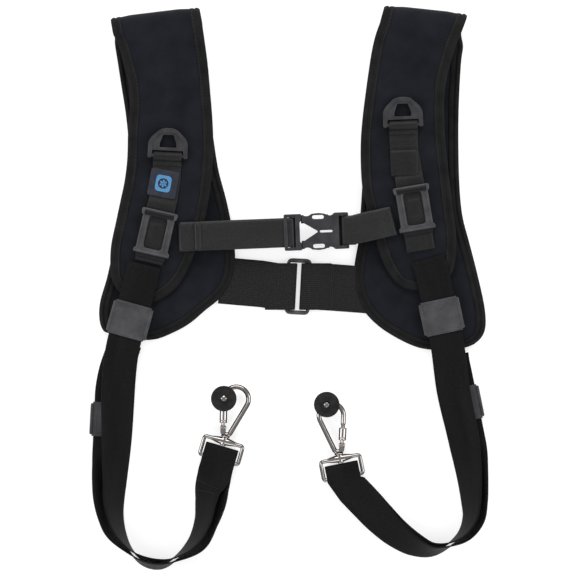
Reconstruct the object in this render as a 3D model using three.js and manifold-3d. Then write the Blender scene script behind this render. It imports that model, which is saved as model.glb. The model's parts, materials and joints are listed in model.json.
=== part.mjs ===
// Dual-shoulder camera harness, lying flat with its pads folded over at the top.
// Millimetres. +X to the right, +Y towards the shoulder folds, +Z up from the table.
import * as THREE from 'three';
import { mergeVertices } from 'three/addons/utils/BufferGeometryUtils.js';
import Module from 'manifold-3d';

const wasm = await Module();
wasm.setup();

// ---------------------------------------------------------------- driving dimensions
const GAP = 0.3;                    // clearance between pieces that touch
const CENTRE_SHIFT = [-0.45, 1.3];      // moves the middle of the outline onto the origin

const PAD_THICKNESS = 6;
const BINDING_THICKNESS = 5.4;
const BINDING_WIDTH = 10.5;
const FOLD_RADIUS = 16;             // middle of the pad where it turns over at the top
const DECK_LOW = 9.6;               // middle of the front panel where it lies on the back lobe
const DECK_START = 8;               // y at which the front panel starts to rise
const DECK_SLOPE = 0.1;             // rise of the front panel towards the fold

const STRAP_WIDTH = 34.5;           // camera strap webbing
const STRAP_THICKNESS = 1.5;
const PAD_WEB_WIDTH = 30;           // webbing on the pads and across the chest
const PAD_WEB_THICKNESS = 1.4;
const BAND_THICKNESS = 1.8;         // wide webbing across the back
const RING_WIRE = 2;                // radius of the strap ring's wire
const RING_HALF_WIDTH = 20.4;       // strap ring, to the middle of its wire
const RING_LENGTH = 19.4;           // strap ring, lower bar to upper bar
const RING_HEIGHT = 8.5;            // the ring and the carabiner lie at this height
const LOOP_REACH = 8.4;               // how far the strap's loop reaches past the ring's bar
const LOOP_RADIUS = 3.3;            // middle of the strap where it turns round the bar

const CARABINER_WIRE = 2.5;         // radius of the carabiner's wire
const CARABINER_TOP_RADIUS = 12.6;
const CARABINER_FOOT_RADIUS = 4;
const CARABINER_REACH = 34;         // foot circle to top circle
const BUCKLE_TILT = 2.2;            // degrees
const BUCKLE_CENTRE = [29, 57.6, 19];
const BAND_RING_CENTRE = [10.5, 1.5, 5];

// ---------------------------------------------------------------- materials
function material(color, roughness, metalness = 0) {
  return new THREE.MeshStandardMaterial({ color, roughness, metalness });
}
const jersey = () => material(0x14161b, 0.95);
const tape = () => material(0x0f0f11, 0.9);
const webbing = () => material(0x161617, 0.55);
const ribbed = () => material(0x121213, 0.75);
const plastic = () => material(0x3c3e41, 0.42);
const gunmetal = () => material(0x5b554f, 0.28, 0.9);
const rubber = () => material(0x19191a, 0.8);
const label = () => material(0x1a1c20, 0.8);

// ---------------------------------------------------------------- geometry helpers
const radians = THREE.MathUtils.degToRad;
const UP = new THREE.Vector3(0, 0, 1);
const vec = (x, y, z) => new THREE.Vector3(x, y, z);

function signedVolume(positions, index) {
  const [a, b, c] = [vec(), vec(), vec()];
  let total = 0;
  for (let i = 0; i < index.length; i += 3) {
    a.fromArray(positions, 3 * index[i]);
    b.fromArray(positions, 3 * index[i + 1]);
    c.fromArray(positions, 3 * index[i + 2]);
    total += a.dot(b.cross(c));
  }
  return total;
}

// A closed body through sections that all have the same number of corners.
// An endless loft joins its last section to its first one. The diagonals of the second half
// of the corners mirror those of the first, so that a thin twisted body keeps its thickness.
function loft(sections, endless = false) {
  const corners = sections[0].length;
  const positions = sections.flat().flatMap((p) => [p.x, p.y, p.z]);
  const index = [];
  const spans = endless ? sections.length : sections.length - 1;
  for (let s = 0; s < spans; s += 1) {
    const here = s * corners;
    const next = ((s + 1) % sections.length) * corners;
    for (let c = 0; c < corners; c += 1) {
      const d = (c + 1) % corners;
      if (c < corners / 2) {
        index.push(here + c, here + d, next + d, here + c, next + d, next + c);
      } else {
        index.push(here + c, here + d, next + c, here + d, next + d, next + c);
      }
    }
  }
  if (!endless) {
    const last = (sections.length - 1) * corners;
    for (let c = 1; c < corners - 1; c += 1) {
      index.push(0, c + 1, c);
      index.push(last, last + c, last + c + 1);
    }
  }
  if (signedVolume(positions, index) < 0) index.reverse();
  const geometry = new THREE.BufferGeometry();
  geometry.setAttribute('position', new THREE.Float32BufferAttribute(positions, 3));
  geometry.setIndex(index);
  return geometry;
}

function solid(geometry) {
  const bare = geometry.clone();
  bare.deleteAttribute('normal');
  bare.deleteAttribute('uv');
  const merged = mergeVertices(bare, 1e-4);
  return new wasm.Manifold(new wasm.Mesh({
    numProp: 3,
    vertProperties: new Float32Array(merged.attributes.position.array),
    triVerts: new Uint32Array(merged.index.array),
  }));
}

function fromSolid(body) {
  const mesh = body.getMesh();
  const geometry = new THREE.BufferGeometry();
  geometry.setAttribute('position', new THREE.Float32BufferAttribute(mesh.vertProperties, 3));
  geometry.setIndex(Array.from(mesh.triVerts));
  return geometry;
}

function join(...geometries) {
  return fromSolid(geometries.map(solid).reduce((sum, next) => sum.add(next)));
}

function cut(geometry, ...tools) {
  return fromSolid(tools.map(solid).reduce((rest, tool) => rest.subtract(tool), solid(geometry)));
}

function box(x0, x1, y0, y1, z0, z1) {
  const geometry = new THREE.BoxGeometry(x1 - x0, y1 - y0, z1 - z0);
  return geometry.translate((x0 + x1) / 2, (y0 + y1) / 2, (z0 + z1) / 2);
}

// A flat piece: outline and holes as lists of [x, y], between two heights.
function plate(outline, z0, z1, holes = []) {
  const shape = new THREE.Shape(outline.map(([x, y]) => new THREE.Vector2(x, y)));
  for (const hole of holes) {
    shape.holes.push(new THREE.Path(hole.map(([x, y]) => new THREE.Vector2(x, y))));
  }
  const geometry = new THREE.ExtrudeGeometry(shape, { depth: z1 - z0, bevelEnabled: false });
  return geometry.translate(0, 0, z0);
}

// Outline of a rectangle with round corners.
function roundedBox(x0, x1, y0, y1, radius, steps = 3) {
  const points = [];
  const centres = [[x1 - radius, y1 - radius, 0], [x0 + radius, y1 - radius, 90],
    [x0 + radius, y0 + radius, 180], [x1 - radius, y0 + radius, 270]];
  for (const [x, y, start] of centres) {
    for (let i = 0; i <= steps; i += 1) {
      const angle = radians(start + (90 * i) / steps);
      points.push([x + radius * Math.cos(angle), y + radius * Math.sin(angle)]);
    }
  }
  return points;
}

// An upright cylinder or washer between two heights.
function disc(radius, z0, z1, bore = 0, segments = 20) {
  if (bore === 0) {
    const geometry = new THREE.CylinderGeometry(radius, radius, z1 - z0, segments);
    return geometry.rotateX(Math.PI / 2).translate(0, 0, (z0 + z1) / 2);
  }
  const profile = [[bore, z0], [radius, z0], [radius, z1], [bore, z1], [bore, z0]];
  const points = profile.map(([r, z]) => new THREE.Vector2(r, z));
  return new THREE.LatheGeometry(points, segments).rotateX(Math.PI / 2);
}

// A round wire along a path that lies in a level plane.
function wire(path, radius, { endless = false, sides = 8 } = {}) {
  const sections = path.map((point, i) => {
    const before = path[endless ? (i + path.length - 1) % path.length : Math.max(i - 1, 0)];
    const after = path[endless ? (i + 1) % path.length : Math.min(i + 1, path.length - 1)];
    const side = UP.clone().cross(after.clone().sub(before)).normalize();
    return Array.from({ length: sides }, (_, k) => {
      const angle = (2 * Math.PI * (k + 0.5)) / sides;
      return point.clone().addScaledVector(side, radius * Math.cos(angle))
        .addScaledVector(UP, radius * Math.sin(angle));
    });
  });
  return loft(sections, endless);
}

// Flat webbing: middle points and the direction of its width at each of them.
function ribbon(points, widths, width, thickness) {
  const sections = points.map((point, i) => {
    const before = points[Math.max(i - 1, 0)];
    const after = points[Math.min(i + 1, points.length - 1)];
    const across = widths[i].clone().normalize().multiplyScalar(width / 2);
    const face = across.clone().cross(after.clone().sub(before)).normalize()
      .multiplyScalar(thickness / 2);
    return [[-1, -1], [1, -1], [1, 1], [-1, 1]].map(([u, v]) => point.clone()
      .addScaledVector(across, u).addScaledVector(face, v));
  });
  return loft(sections);
}

// Straight webbing along x in its own frame, given as [x, z] points.
function webAlongX(profile, width, thickness) {
  const points = profile.map(([x, z]) => vec(x, 0, z));
  return ribbon(points, points.map(() => vec(0, 1, 0)), width, thickness);
}

// Straight webbing along y in its own frame, given as [y, z] points.
function webAlongY(profile, width, thickness) {
  const points = profile.map(([y, z]) => vec(0, y, z));
  return ribbon(points, points.map(() => vec(1, 0, 0)), width, thickness);
}

const harness = new THREE.Group();
harness.position.set(CENTRE_SHIFT[0], CENTRE_SHIFT[1], 0);

function add(parent, name, geometry, finish) {
  const mesh = new THREE.Mesh(geometry, finish);
  mesh.name = name;
  parent.add(mesh);
  return mesh;
}

function frame(parent, x, y, z, turn = 0) {
  const group = new THREE.Group();
  group.position.set(x, y, z);
  group.rotation.z = radians(turn);
  parent.add(group);
  return group;
}

// ---------------------------------------------------------------- the two sides
// Pad rows run from the fold down; each row is [left x, left y, right x, right y].
const LEFT = {
  name: 'left',
  side: -1,
  fold: [-181, 276, -90, 287],
  front: [[-174, 251, -84, 248], [-168, 231, -81, 224], [-162, 207, -79, 200],
    [-161, 184, -77, 176], [-163, 161, -76, 151], [-164, 131, -77, 125], [-167, 108, -79, 102],
    [-171, 90, -82, 85], [-176, 67, -86, 64], [-181, 44, -93, 43], [-182, 27, -99, 26],
    [-181, 10, -107, 10], [-176, -1, -116, -2], [-169, -8, -125, -9], [-160, -14, -136, -15],
    [-152, -17, -142, -18]],
  back: [[-178, 253, -88, 257], [-175, 233, -85, 233], [-171, 207, -82, 207],
    [-167, 182, -80, 182], [-164, 151, -76, 151], [-166, 120, -71, 120], [-171, 90, -63, 90],
    [-176, 54, -56, 54], [-182, 27, -54, 27], [-187, 6, -58, 5], [-192, -10, -70, -11],
    [-194, -24, -86, -24], [-193, -36, -101, -37], [-190, -43, -122, -48],
    [-187, -47, -145, -57]],
  dRing: { x: -122.5, y: 135, turn: -3 },
  adjuster: { x: -135, y: 57, turn: -12.9, webEnd: -31 },
  frontStopper: { x: -161.5, y: -33, turn: -15.5 },
  rearStopper: { x: -182, y: -135, turn: -3 },
  // The strap's front run, from the pad to the ring: x, y, height of its low edge, roll.
  frontRun: [[-146.5, 24, 15.8, 0], [-150.5, 8, 15, 0], [-154.7, -8, 15, 0],
    [-161.5, -33, 15, 0], [-168.2, -58, 15, 0], [-171, -74, 12.5, 2], [-173, -94, 8.5, 8],
    [-174, -114, 7.2, 14], [-174.5, -135, 6.8, 22], [-175, -155, 5.6, 30],
    [-176, -175, 2, 38], [-177, -196, 0.2, 47], [-178, -216, 0.2, 54], [-176.5, -232, 0.2, 64],
    [-172, -248, 0.2, 74], [-160, -267, 0.2, 92], [-146, -277, 0.2, 104],
    [-131, -280, 0.2, 105], [-116, -275, 0.2, 92], [-97, -259, 0.2, 73], [-87, -238, 0.2, 60],
    [-84, -218, 0.6, 50], [-81.5, -204, 3, 36], [-76.8, -193.5, 7.3, 14],
    [-73.5, -184, 10.7, 2]],
  // The back run, from the ring to the pad.
  backRun: [[-73.5, -184, 4.3, 0], [-75.2, -193, 3, 6], [-75.5, -204, 1, 25],
    [-75, -218, 0.2, 45], [-80, -238, 0.2, 58], [-89, -262, 0.2, 73], [-114.3, -278.2, 0.2, 92],
    [-131, -284.3, 0.2, 104], [-147.2, -281.3, 0.2, 103], [-162.3, -269.8, 0.2, 92],
    [-180, -250, 0.2, 75], [-186, -232, 0.2, 65], [-187.5, -214, 0.2, 52],
    [-186, -196, 0.3, 36], [-184, -180, 1, 18], [-183.3, -165, 2.2, 1], [-182.6, -150, 2.3, 0],
    [-182, -135, 2.3, 0], [-181.3, -120, 2.3, 0], [-180.3, -103, 2.3, 0],
    [-176.5, -84, 1.6, 0], [-171, -68, 1.4, 0], [-167, -56, 2.2, 0]],
  ring: { x: -71, y: -175.4, turn: -16.3 },
  mountAngle: 192,
};
const RIGHT = {
  name: 'right',
  side: 1,
  fold: [98, 289, 183, 280],
  front: [[89, 258, 171, 248], [85, 241, 165, 228], [82, 222, 161, 212], [79, 200, 159, 194],
    [76, 176, 159, 173], [74, 151, 160, 151], [74, 125, 163, 125], [76, 100, 166, 100],
    [82, 76, 169, 76], [88, 55, 172, 55], [93, 37, 172, 37], [99, 22, 170, 21],
    [107, 9, 164, 8], [115, 1, 155, -1], [125, -4, 146, -6]],
  back: [[93, 260, 180, 250], [89, 238, 178, 235], [84, 207, 176, 204], [80, 173, 175, 173],
    [78, 141, 175, 141], [76, 105, 176, 105], [74, 74, 179, 74], [72, 47, 186, 47],
    [68, 24, 192, 24], [68, 0, 198, -1], [76, -21, 202, -21], [90, -37, 203, -37],
    [107, -49, 201, -47], [129, -60, 194, -56], [149, -66, 183, -64]],
  dRing: { x: 117, y: 166.5, turn: 2.5 },
  adjuster: { x: 128.5, y: 82, turn: 9.5, webEnd: -44 },
  frontStopper: { x: 156.8, y: -29, turn: 12 },
  rearStopper: { x: 178, y: -119.5, turn: 11.5 },
  frontRun: [[142.5, 30, 16.2, 0], [149, 8, 15, 0], [152, -7, 15, 0], [156.8, -29, 15, 0],
    [161.7, -52, 15, 0], [164.3, -68, 13, 1], [166.3, -84, 10, 4], [169, -104, 8, 10],
    [173, -124, 7.2, 16], [177.5, -144, 6.2, 22], [181, -163, 3.6, 30], [184, -182, 0.6, 40],
    [186, -200, 0.2, 49], [187, -217, 0.2, 57], [186, -234, 0.2, 68],
    [178, -250, 0.2, 82], [163, -261, 0.2, 97], [146, -265, 0.2, 113],
    [128, -259, 0.2, 129], [110, -248, 0.2, 144], [94, -234, 0.6, 157], [80, -220, 2.4, 169],
    [66, -206, 4.2, 179]],
  backRun: [[66, -206, 11.1, 180], [80, -221, 8.5, 172], [94, -236.5, 5, 158],
    [111, -252.5, 1, 143], [129, -264, 0.2, 129], [146.8, -268.9, 0.2, 112.5],
    [165, -263.9, 0.2, 96.5], [182.6, -253.4, 0.2, 81], [193, -236, 0.2, 68], [194, -217, 0.2, 58],
    [192.5, -199, 0.2, 48], [190, -182, 0.4, 34], [187.3, -167, 1.3, 14],
    [185.2, -155, 2.3, 0], [181.8, -138.1, 2.3, 0], [178, -119.5, 2.3, 0],
    [174.2, -100.9, 2.3, 0], [171.7, -88.5, 2.1, 0], [169.3, -77, 1.8, 0], [168, -68.5, 2.2, 0]],
  ring: { x: 57, y: -193.5, turn: 11.4 },
  mountAngle: 79,
};

function deckHeight(y) {
  return DECK_LOW + DECK_SLOPE * Math.max(0, y - DECK_START);
}

// Rows of a pad as points on its middle surface, from the tongue over the fold to the lobe.
function padRows(data) {
  const [leftX, leftY, rightX, rightY] = data.fold;
  const [frontRow] = data.front;
  const reach = FOLD_RADIUS + PAD_THICKNESS / 2;
  const foldHeight = PAD_THICKNESS / 2 + FOLD_RADIUS;
  const rows = data.front.map(([lx, ly, rx, ry]) => ({
    left: vec(lx, ly, deckHeight(ly)), right: vec(rx, ry, deckHeight(ry)),
  })).reverse();
  for (let angle = 90; angle >= -90; angle -= 30) {
    const out = reach - FOLD_RADIUS * Math.cos(radians(angle));
    const z = foldHeight + FOLD_RADIUS * Math.sin(radians(angle));
    const mix = 0.6 * (out / reach - PAD_THICKNESS / 2 / reach);
    rows.push({
      left: vec(THREE.MathUtils.lerp(leftX, frontRow[0], mix), leftY - out, z),
      right: vec(THREE.MathUtils.lerp(rightX, frontRow[2], mix), rightY - out, z),
    });
  }
  for (const [lx, ly, rx, ry] of data.back) {
    rows.push({ left: vec(lx, ly, PAD_THICKNESS / 2), right: vec(rx, ry, PAD_THICKNESS / 2) });
  }
  return rows;
}

// Distance along the pad of every row.
function rowDistances(rows) {
  const middle = rows.map((row) => row.left.clone().add(row.right).multiplyScalar(0.5));
  const distances = [0];
  for (let i = 1; i < rows.length; i += 1) {
    distances.push(distances[i - 1] + middle[i].distanceTo(middle[i - 1]));
  }
  return distances;
}

function rowAt(rows, distances, distance) {
  const last = rows.length - 1;
  const clamped = Math.min(Math.max(distance, 0), distances[last]);
  let i = 0;
  while (i < last - 1 && distances[i + 1] < clamped) i += 1;
  const mix = (clamped - distances[i]) / (distances[i + 1] - distances[i]);
  return {
    left: rows[i].left.clone().lerp(rows[i + 1].left, mix),
    right: rows[i].right.clone().lerp(rows[i + 1].right, mix),
  };
}

// The same rows drawn in from the whole edge of the pad by a margin.
function insetRows(rows, margin) {
  const distances = rowDistances(rows);
  const end = distances[distances.length - 1] - margin;
  const inner = distances.filter((d) => d > margin + 2 && d < end - 2);
  return [margin, ...inner, end].map((distance) => {
    const here = rowAt(rows, distances, distance);
    let left = 0;
    let right = 0;
    for (const step of [-1, -0.8, -0.4, 0, 0.4, 0.8, 1]) {
      const near = rowAt(rows, distances, distance + step * margin);
      const reach = margin * Math.sqrt(1 - step * step);
      left = Math.max(left, near.left.x - here.left.x + reach);
      right = Math.max(right, here.right.x - near.right.x + reach);
    }
    const across = here.right.clone().sub(here.left).normalize();
    return {
      left: here.left.clone().addScaledVector(across, left),
      right: here.right.clone().addScaledVector(across, -right),
    };
  });
}

// A slab through the rows; soft edges get a blunt point, others stay square.
function padSlab(rows, thickness, edge = 0) {
  const sections = rows.map((row, i) => {
    const before = rows[Math.max(i - 1, 0)];
    const after = rows[Math.min(i + 1, rows.length - 1)];
    const along = after.left.clone().add(after.right).sub(before.left).sub(before.right);
    const across = row.right.clone().sub(row.left).normalize();
    const face = across.clone().cross(along).normalize().multiplyScalar(thickness / 2);
    const corner = (base, inward, up) => base.clone().addScaledVector(across, inward)
      .addScaledVector(face, up);
    const square = [corner(row.left, edge, -1), corner(row.right, -edge, -1),
      corner(row.right, -edge, 1), corner(row.left, edge, 1)];
    if (edge === 0) return square;
    return [square[0], square[1], row.right.clone(), square[2], square[3], row.left.clone()];
  });
  return loft(sections);
}

// ---------------------------------------------------------------- pads
function addPad(data) {
  const rows = padRows(data);
  const core = padSlab(insetRows(rows, BINDING_WIDTH), PAD_THICKNESS);
  const whole = padSlab(rows, BINDING_THICKNESS, 1.6);
  const middle = padSlab(insetRows(rows, BINDING_WIDTH - GAP), PAD_THICKNESS + 0.4);
  add(harness, `${data.name}_shoulder_pad`, core, jersey());
  add(harness, `${data.name}_pad_binding`, cut(whole, middle), tape());
}

// ---------------------------------------------------------------- camera straps
// Smooth middle line of one run, with the direction of its width at every point.
function strapRun(stations, sense) {
  const middle = stations.map(([x, y, low, roll]) => vec(x, y, low
    + (STRAP_WIDTH / 2) * Math.abs(Math.sin(radians(roll))) + STRAP_THICKNESS / 2));
  const rolls = stations.map(([, , , roll]) => vec(roll, 0, 0));
  const line = new THREE.CatmullRomCurve3(middle, false, 'centripetal');
  const turning = new THREE.CatmullRomCurve3(rolls, false, 'catmullrom', 0.5);
  const count = 2 * (stations.length - 1);
  const run = [];
  for (let i = 0; i <= count; i += 1) {
    const heading = line.getTangent(i / count);
    const outward = vec(heading.y, -heading.x, 0).normalize().multiplyScalar(sense);
    const roll = radians(turning.getPoint(i / count).x);
    run.push({ point: line.getPoint(i / count),
      width: outward.multiplyScalar(Math.cos(roll)).addScaledVector(UP, Math.sin(roll)) });
  }
  return run;
}

// One webbing from the front of the pad round the U and the ring to the back of the pad.
function strapGeometry(data) {
  const there = strapRun(data.frontRun, -data.side);
  const back = strapRun(data.backRun, data.side);
  const turn = radians(data.ring.turn);
  const ahead = vec(-Math.sin(turn), Math.cos(turn), 0);
  const level = vec(Math.cos(turn), Math.sin(turn), 0);
  const across = level.multiplyScalar(Math.sign(level.dot(there[there.length - 1].width)));
  const over = data.frontRun[data.frontRun.length - 1][2] > RING_HEIGHT ? 1 : -1;
  const loop = [];
  for (const reach of [-3, 3]) loop.push([reach, over]);
  for (let i = 0; i <= 6; i += 1) {
    const angle = (Math.PI * i) / 6;
    loop.push([LOOP_REACH + LOOP_RADIUS * Math.sin(angle), over * Math.cos(angle)]);
  }
  for (const reach of [3, -3]) loop.push([reach, -over]);
  const bar = vec(data.ring.x, data.ring.y, RING_HEIGHT);
  const points = loop.map(([reach, rise]) => bar.clone().addScaledVector(ahead, reach)
    .addScaledVector(UP, LOOP_RADIUS * rise));
  return ribbon(
    [...there.map((s) => s.point), ...points, ...back.map((s) => s.point)],
    [...there.map((s) => s.width), ...points.map(() => across), ...back.map((s) => s.width)],
    STRAP_WIDTH,
    STRAP_THICKNESS,
  );
}

// ---------------------------------------------------------------- hardware on the pads
// The deck is the sloping top of the front panel; heights on it are above the pad.
function deckFrame() {
  const deck = new THREE.Group();
  deck.rotation.x = Math.atan(DECK_SLOPE);
  deck.position.set(0, DECK_START, DECK_LOW);
  harness.add(deck);
  return deck;
}

function onDeck(deck, { x, y, turn }) {
  return frame(deck, x, (y - DECK_START) / Math.cos(Math.atan(DECK_SLOPE)),
    PAD_THICKNESS / 2, turn);
}

const D_RING_HEIGHT = 4.2;          // middle of the D-ring's bar above the pad
const D_RING_BAR = 1.8;

function addDRing(data, deck) {
  const place = onDeck(deck, data.dRing);
  const half = [[20.5, -2.4], [20, 14], [17.5, 18.5], [8.5, 27], [3, 28.5]];
  const inner = [[8.5, 8.8], [8.3, 12.5], [5.2, 21.4]];
  const mirror = ([x, y]) => [-x, y];
  const outline = [...half, ...half.map(mirror).reverse()];
  const window = [...inner, ...inner.map(mirror).reverse()];
  const bar = disc(D_RING_BAR, -16.2, 16.2, 0, 12).rotateY(Math.PI / 2);
  const webSlot = box(-15.8, 15.8, -3, 5.2, -3, 3);
  const body = cut(plate(outline, -2, 2, [window]), webSlot);
  const ring = add(place, `${data.name}_d_ring`, join(body, bar), plastic());
  ring.position.z = D_RING_HEIGHT;
  const over = D_RING_HEIGHT + D_RING_BAR + GAP + 1.2;
  add(place, `${data.name}_d_ring_loop`, webAlongY([[-10, 2.7], [-6, 3],
    [-3.6, over - 1], [0, over], [3.2, over - 1], [4.2, 3.1]], PAD_WEB_WIDTH - 0.6, 1.2),
  webbing());
}

const ADJUSTER_HALF_WIDTH = 18.6;
const ADJUSTER_HALF_LENGTH = 23;
const ADJUSTER_WEB_HEIGHT = 3.5;    // middle of the webbing where it passes the adjuster

function addAdjuster(data, deck) {
  const place = onDeck(deck, data.adjuster);
  const [w, l] = [ADJUSTER_HALF_WIDTH, ADJUSTER_HALF_LENGTH];
  const rail = w - 2;
  const window = roundedBox(-10.5, 10.5, -l + 6, l - 5.5, 2.5, 2);
  const outline = [[-w, -l], [w, -l], [w, -l + 4.2], [rail, -l + 5], [rail, l - 5], [w, l - 4.2],
    [w, l], [-w, l], [-w, l - 4.2], [-rail, l - 5], [-rail, -l + 5], [-w, -l + 4.2]];
  const shell = plate(outline, 0.6, 7.2, [window]);
  const passage = box(-rail + 1.5, rail - 1.5, -l - 1, l + 1, 0, ADJUSTER_WEB_HEIGHT + 1.1);
  const crossBar = box(-rail + 0.5, rail - 0.5, -3, 3, 0.6, ADJUSTER_WEB_HEIGHT - 1.1);
  add(place, `${data.name}_adjuster`, join(cut(shell, passage), crossBar), plastic());
}

// Webbing sewn to the pad: under the D-ring, through the adjuster and down to its end.
function addPadWebbing(data, deck) {
  const ring = onDeck(deck, data.dRing);
  const adjuster = onDeck(deck, data.adjuster);
  const at = (group, y, z) => vec(0, y, z).applyEuler(group.rotation).add(group.position);
  const low = 0.4 + PAD_WEB_THICKNESS / 2;
  const points = [at(ring, 7.5, low), at(ring, -4, low), at(ring, -24, low),
    at(adjuster, 36, low), at(adjuster, 30, ADJUSTER_WEB_HEIGHT),
    at(adjuster, data.adjuster.webEnd, ADJUSTER_WEB_HEIGHT)];
  const across = (group) => vec(1, 0, 0).applyEuler(group.rotation);
  const widths = [ring, ring, ring, adjuster, adjuster, adjuster].map(across);
  add(deck, `${data.name}_pad_webbing`,
    ribbon(points, widths, PAD_WEB_WIDTH - 1, PAD_WEB_THICKNESS), webbing());
}

// A plate that keeps the strap's layers flat: a low tunnel with two raised side ridges.
function stopperGeometry() {
  const [w, l] = [19.4, 17.6];
  const inner = STRAP_THICKNESS / 2 + 0.35;
  const outer = inner + 1.4;
  const slot = box(-STRAP_WIDTH / 2 - 0.5, STRAP_WIDTH / 2 + 0.5, -l - 1, l + 1, -inner, inner);
  const body = cut(plate(roundedBox(-w, w, -l, l, 1.5, 2), -outer, outer), slot);
  const ridges = [-1, 1].map((s) => box(s * w - 1.5, s * w + 1.5, -l + 2, l - 2,
    -outer, outer + 0.9));
  return join(body, ...ridges);
}

function addStoppers(data) {
  const upper = data.frontStopper;
  const lower = data.rearStopper;
  add(frame(harness, upper.x, upper.y, 15 + STRAP_THICKNESS / 2, upper.turn),
    `${data.name}_front_stopper`, stopperGeometry(), plastic());
  add(frame(harness, lower.x, lower.y, 2.3 + STRAP_THICKNESS / 2, lower.turn),
    `${data.name}_rear_stopper`, stopperGeometry(), plastic());
}

// ---------------------------------------------------------------- ring and carabiner
const BARREL_RADIUS = 3.8;
const PIN_RADIUS = 1.8;
const FOOT_ABOVE_BARREL = 10.8;     // carabiner's foot circle above the barrel's middle

// Everything from the ring on is drawn with the ring's lower bar along x at the origin.
function addRing(data, place) {
  const outline = roundedBox(-RING_HALF_WIDTH, RING_HALF_WIDTH, 0, RING_LENGTH, 2.4, 3);
  const path = outline.map(([x, y]) => vec(x, y, 0));
  const barrel = disc(BARREL_RADIUS, -11, 11, 0, 14).rotateY(Math.PI / 2)
    .translate(0, RING_LENGTH, 0);
  const bore = disc(PIN_RADIUS + 0.5, -6, 6, 0, 12).rotateX(Math.PI / 2)
    .translate(0, RING_LENGTH, 0);
  add(place, `${data.name}_strap_ring`,
    cut(join(wire(path, RING_WIRE, { endless: true }), barrel), bore), gunmetal());
}

// Middle line of the carabiner: foot circle at the origin, top circle above it.
const SIDE_LEAN = Math.asin((CARABINER_TOP_RADIUS - CARABINER_FOOT_RADIUS) / CARABINER_REACH);
const TOP = vec(0, CARABINER_REACH, 0);

function onTopCircle(degrees, radius = CARABINER_TOP_RADIUS) {
  const angle = radians(degrees);
  return vec(radius * Math.cos(angle), radius * Math.sin(angle), 0).add(TOP);
}

function onFootCircle(degrees) {
  const angle = radians(degrees);
  return vec(CARABINER_FOOT_RADIUS * Math.cos(angle), CARABINER_FOOT_RADIUS * Math.sin(angle), 0);
}

const LEAN_DEGREES = THREE.MathUtils.radToDeg(SIDE_LEAN);
const GATE_START = onFootCircle(180 + LEAN_DEGREES);
const GATE_END = onTopCircle(180 + LEAN_DEGREES);
const GATE_LINE = GATE_END.clone().sub(GATE_START);
const NOSE = 0.72;                  // where the gate meets the nose, as a share of its line
const PIN_SHARE = 0.1;              // where the hinge pin sits on that line

function gatePoint(share) {
  return GATE_START.clone().addScaledVector(GATE_LINE, share);
}

function carabinerPath() {
  const path = [gatePoint(NOSE), gatePoint(0.86)];
  const steps = 14;
  for (let i = 0; i <= steps; i += 1) {
    path.push(onTopCircle(180 + LEAN_DEGREES - (i * (180 + 2 * LEAN_DEGREES)) / steps));
  }
  path.push(onFootCircle(-LEAN_DEGREES));
  for (const angle of [-40, -65, -90, -115, -140]) path.push(onFootCircle(angle));
  path.push(gatePoint(0));
  return path;
}

function addCarabiner(data, place) {
  const pinPoint = gatePoint(PIN_SHARE);
  const cheek = (z0, z1) => disc(3.6, z0, z1, 0, 12).translate(pinPoint.x, pinPoint.y, 0);
  const pinHole = disc(1.5, -5, 5, 0, 10).translate(pinPoint.x, pinPoint.y, 0);
  const clearing = disc(4.4, -1.9, 1.9, 0, 12).translate(pinPoint.x, pinPoint.y, 0);
  const body = cut(wire(carabinerPath(), CARABINER_WIRE), clearing);
  add(place, `${data.name}_carabiner`,
    cut(join(body, cheek(-3.3, -1.9), cheek(1.9, 3.3)), pinHole), gunmetal());

  const rod = wire([gatePoint(PIN_SHARE + 0.14), gatePoint(NOSE - 0.02)], 2);
  const neck = wire([gatePoint(PIN_SHARE), gatePoint(PIN_SHARE + 0.16)], 1.5);
  const eye = disc(3.2, -1.6, 1.6, 0, 12).translate(pinPoint.x, pinPoint.y, 0);
  add(place, `${data.name}_gate`, cut(join(rod, neck, eye), pinHole), gunmetal());
  add(place, `${data.name}_gate_pin`, disc(1.2, -3.3, 3.3, 0, 10)
    .translate(pinPoint.x, pinPoint.y, 0), gunmetal());

  const lean = Math.atan2(-GATE_LINE.x, GATE_LINE.y);
  const sleeve = disc(4.4, 0, 11, 2.9, 16).rotateX(-Math.PI / 2).rotateZ(lean);
  const start = gatePoint(0.3);
  add(place, `${data.name}_lock_sleeve`, sleeve.translate(start.x, start.y, 0), gunmetal());
}

// The pin that holds the carabiner's foot in the ring's barrel and lets it turn.
function addSwivelPin(data, place) {
  const top = -CARABINER_FOOT_RADIUS - CARABINER_WIRE - GAP;
  const bottom = -FOOT_ABOVE_BARREL - BARREL_RADIUS - GAP;
  const shank = disc(PIN_RADIUS, bottom - 0.5, top, 0, 12);
  const head = disc(3, bottom - 1.5, bottom, 0, 12);
  const pin = join(shank, head).rotateX(-Math.PI / 2);
  add(place, `${data.name}_swivel_pin`, pin, gunmetal());
}

// ---------------------------------------------------------------- camera mount
// Seen with the carabiner's wire along x through the origin and the disc above it.
function bailGeometry() {
  const outline = roundedBox(-5.6, 5.6, -5.1, 7, 2, 3);
  const window = roundedBox(-3.6, 3.6, -3.1, 5, 1.2, 2);
  const loop = plate(outline, -3, 3, [window]).rotateX(Math.PI / 2).rotateZ(Math.PI / 2);
  return cut(loop, disc(2.7, 4, 8, 0, 12));
}

function screwGeometry() {
  const profile = [[0, 3.2], [3.1, 3.2], [3.1, 4.7], [2.2, 4.7], [2.2, 7.3], [12, 7.3],
    [12, 8.8], [3.1, 8.8], [3.1, 17.7], [2.5, 18.4], [0, 18.4]];
  return new THREE.LatheGeometry(profile.map(([r, z]) => new THREE.Vector2(r, z)), 20)
    .rotateX(Math.PI / 2);
}

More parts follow.
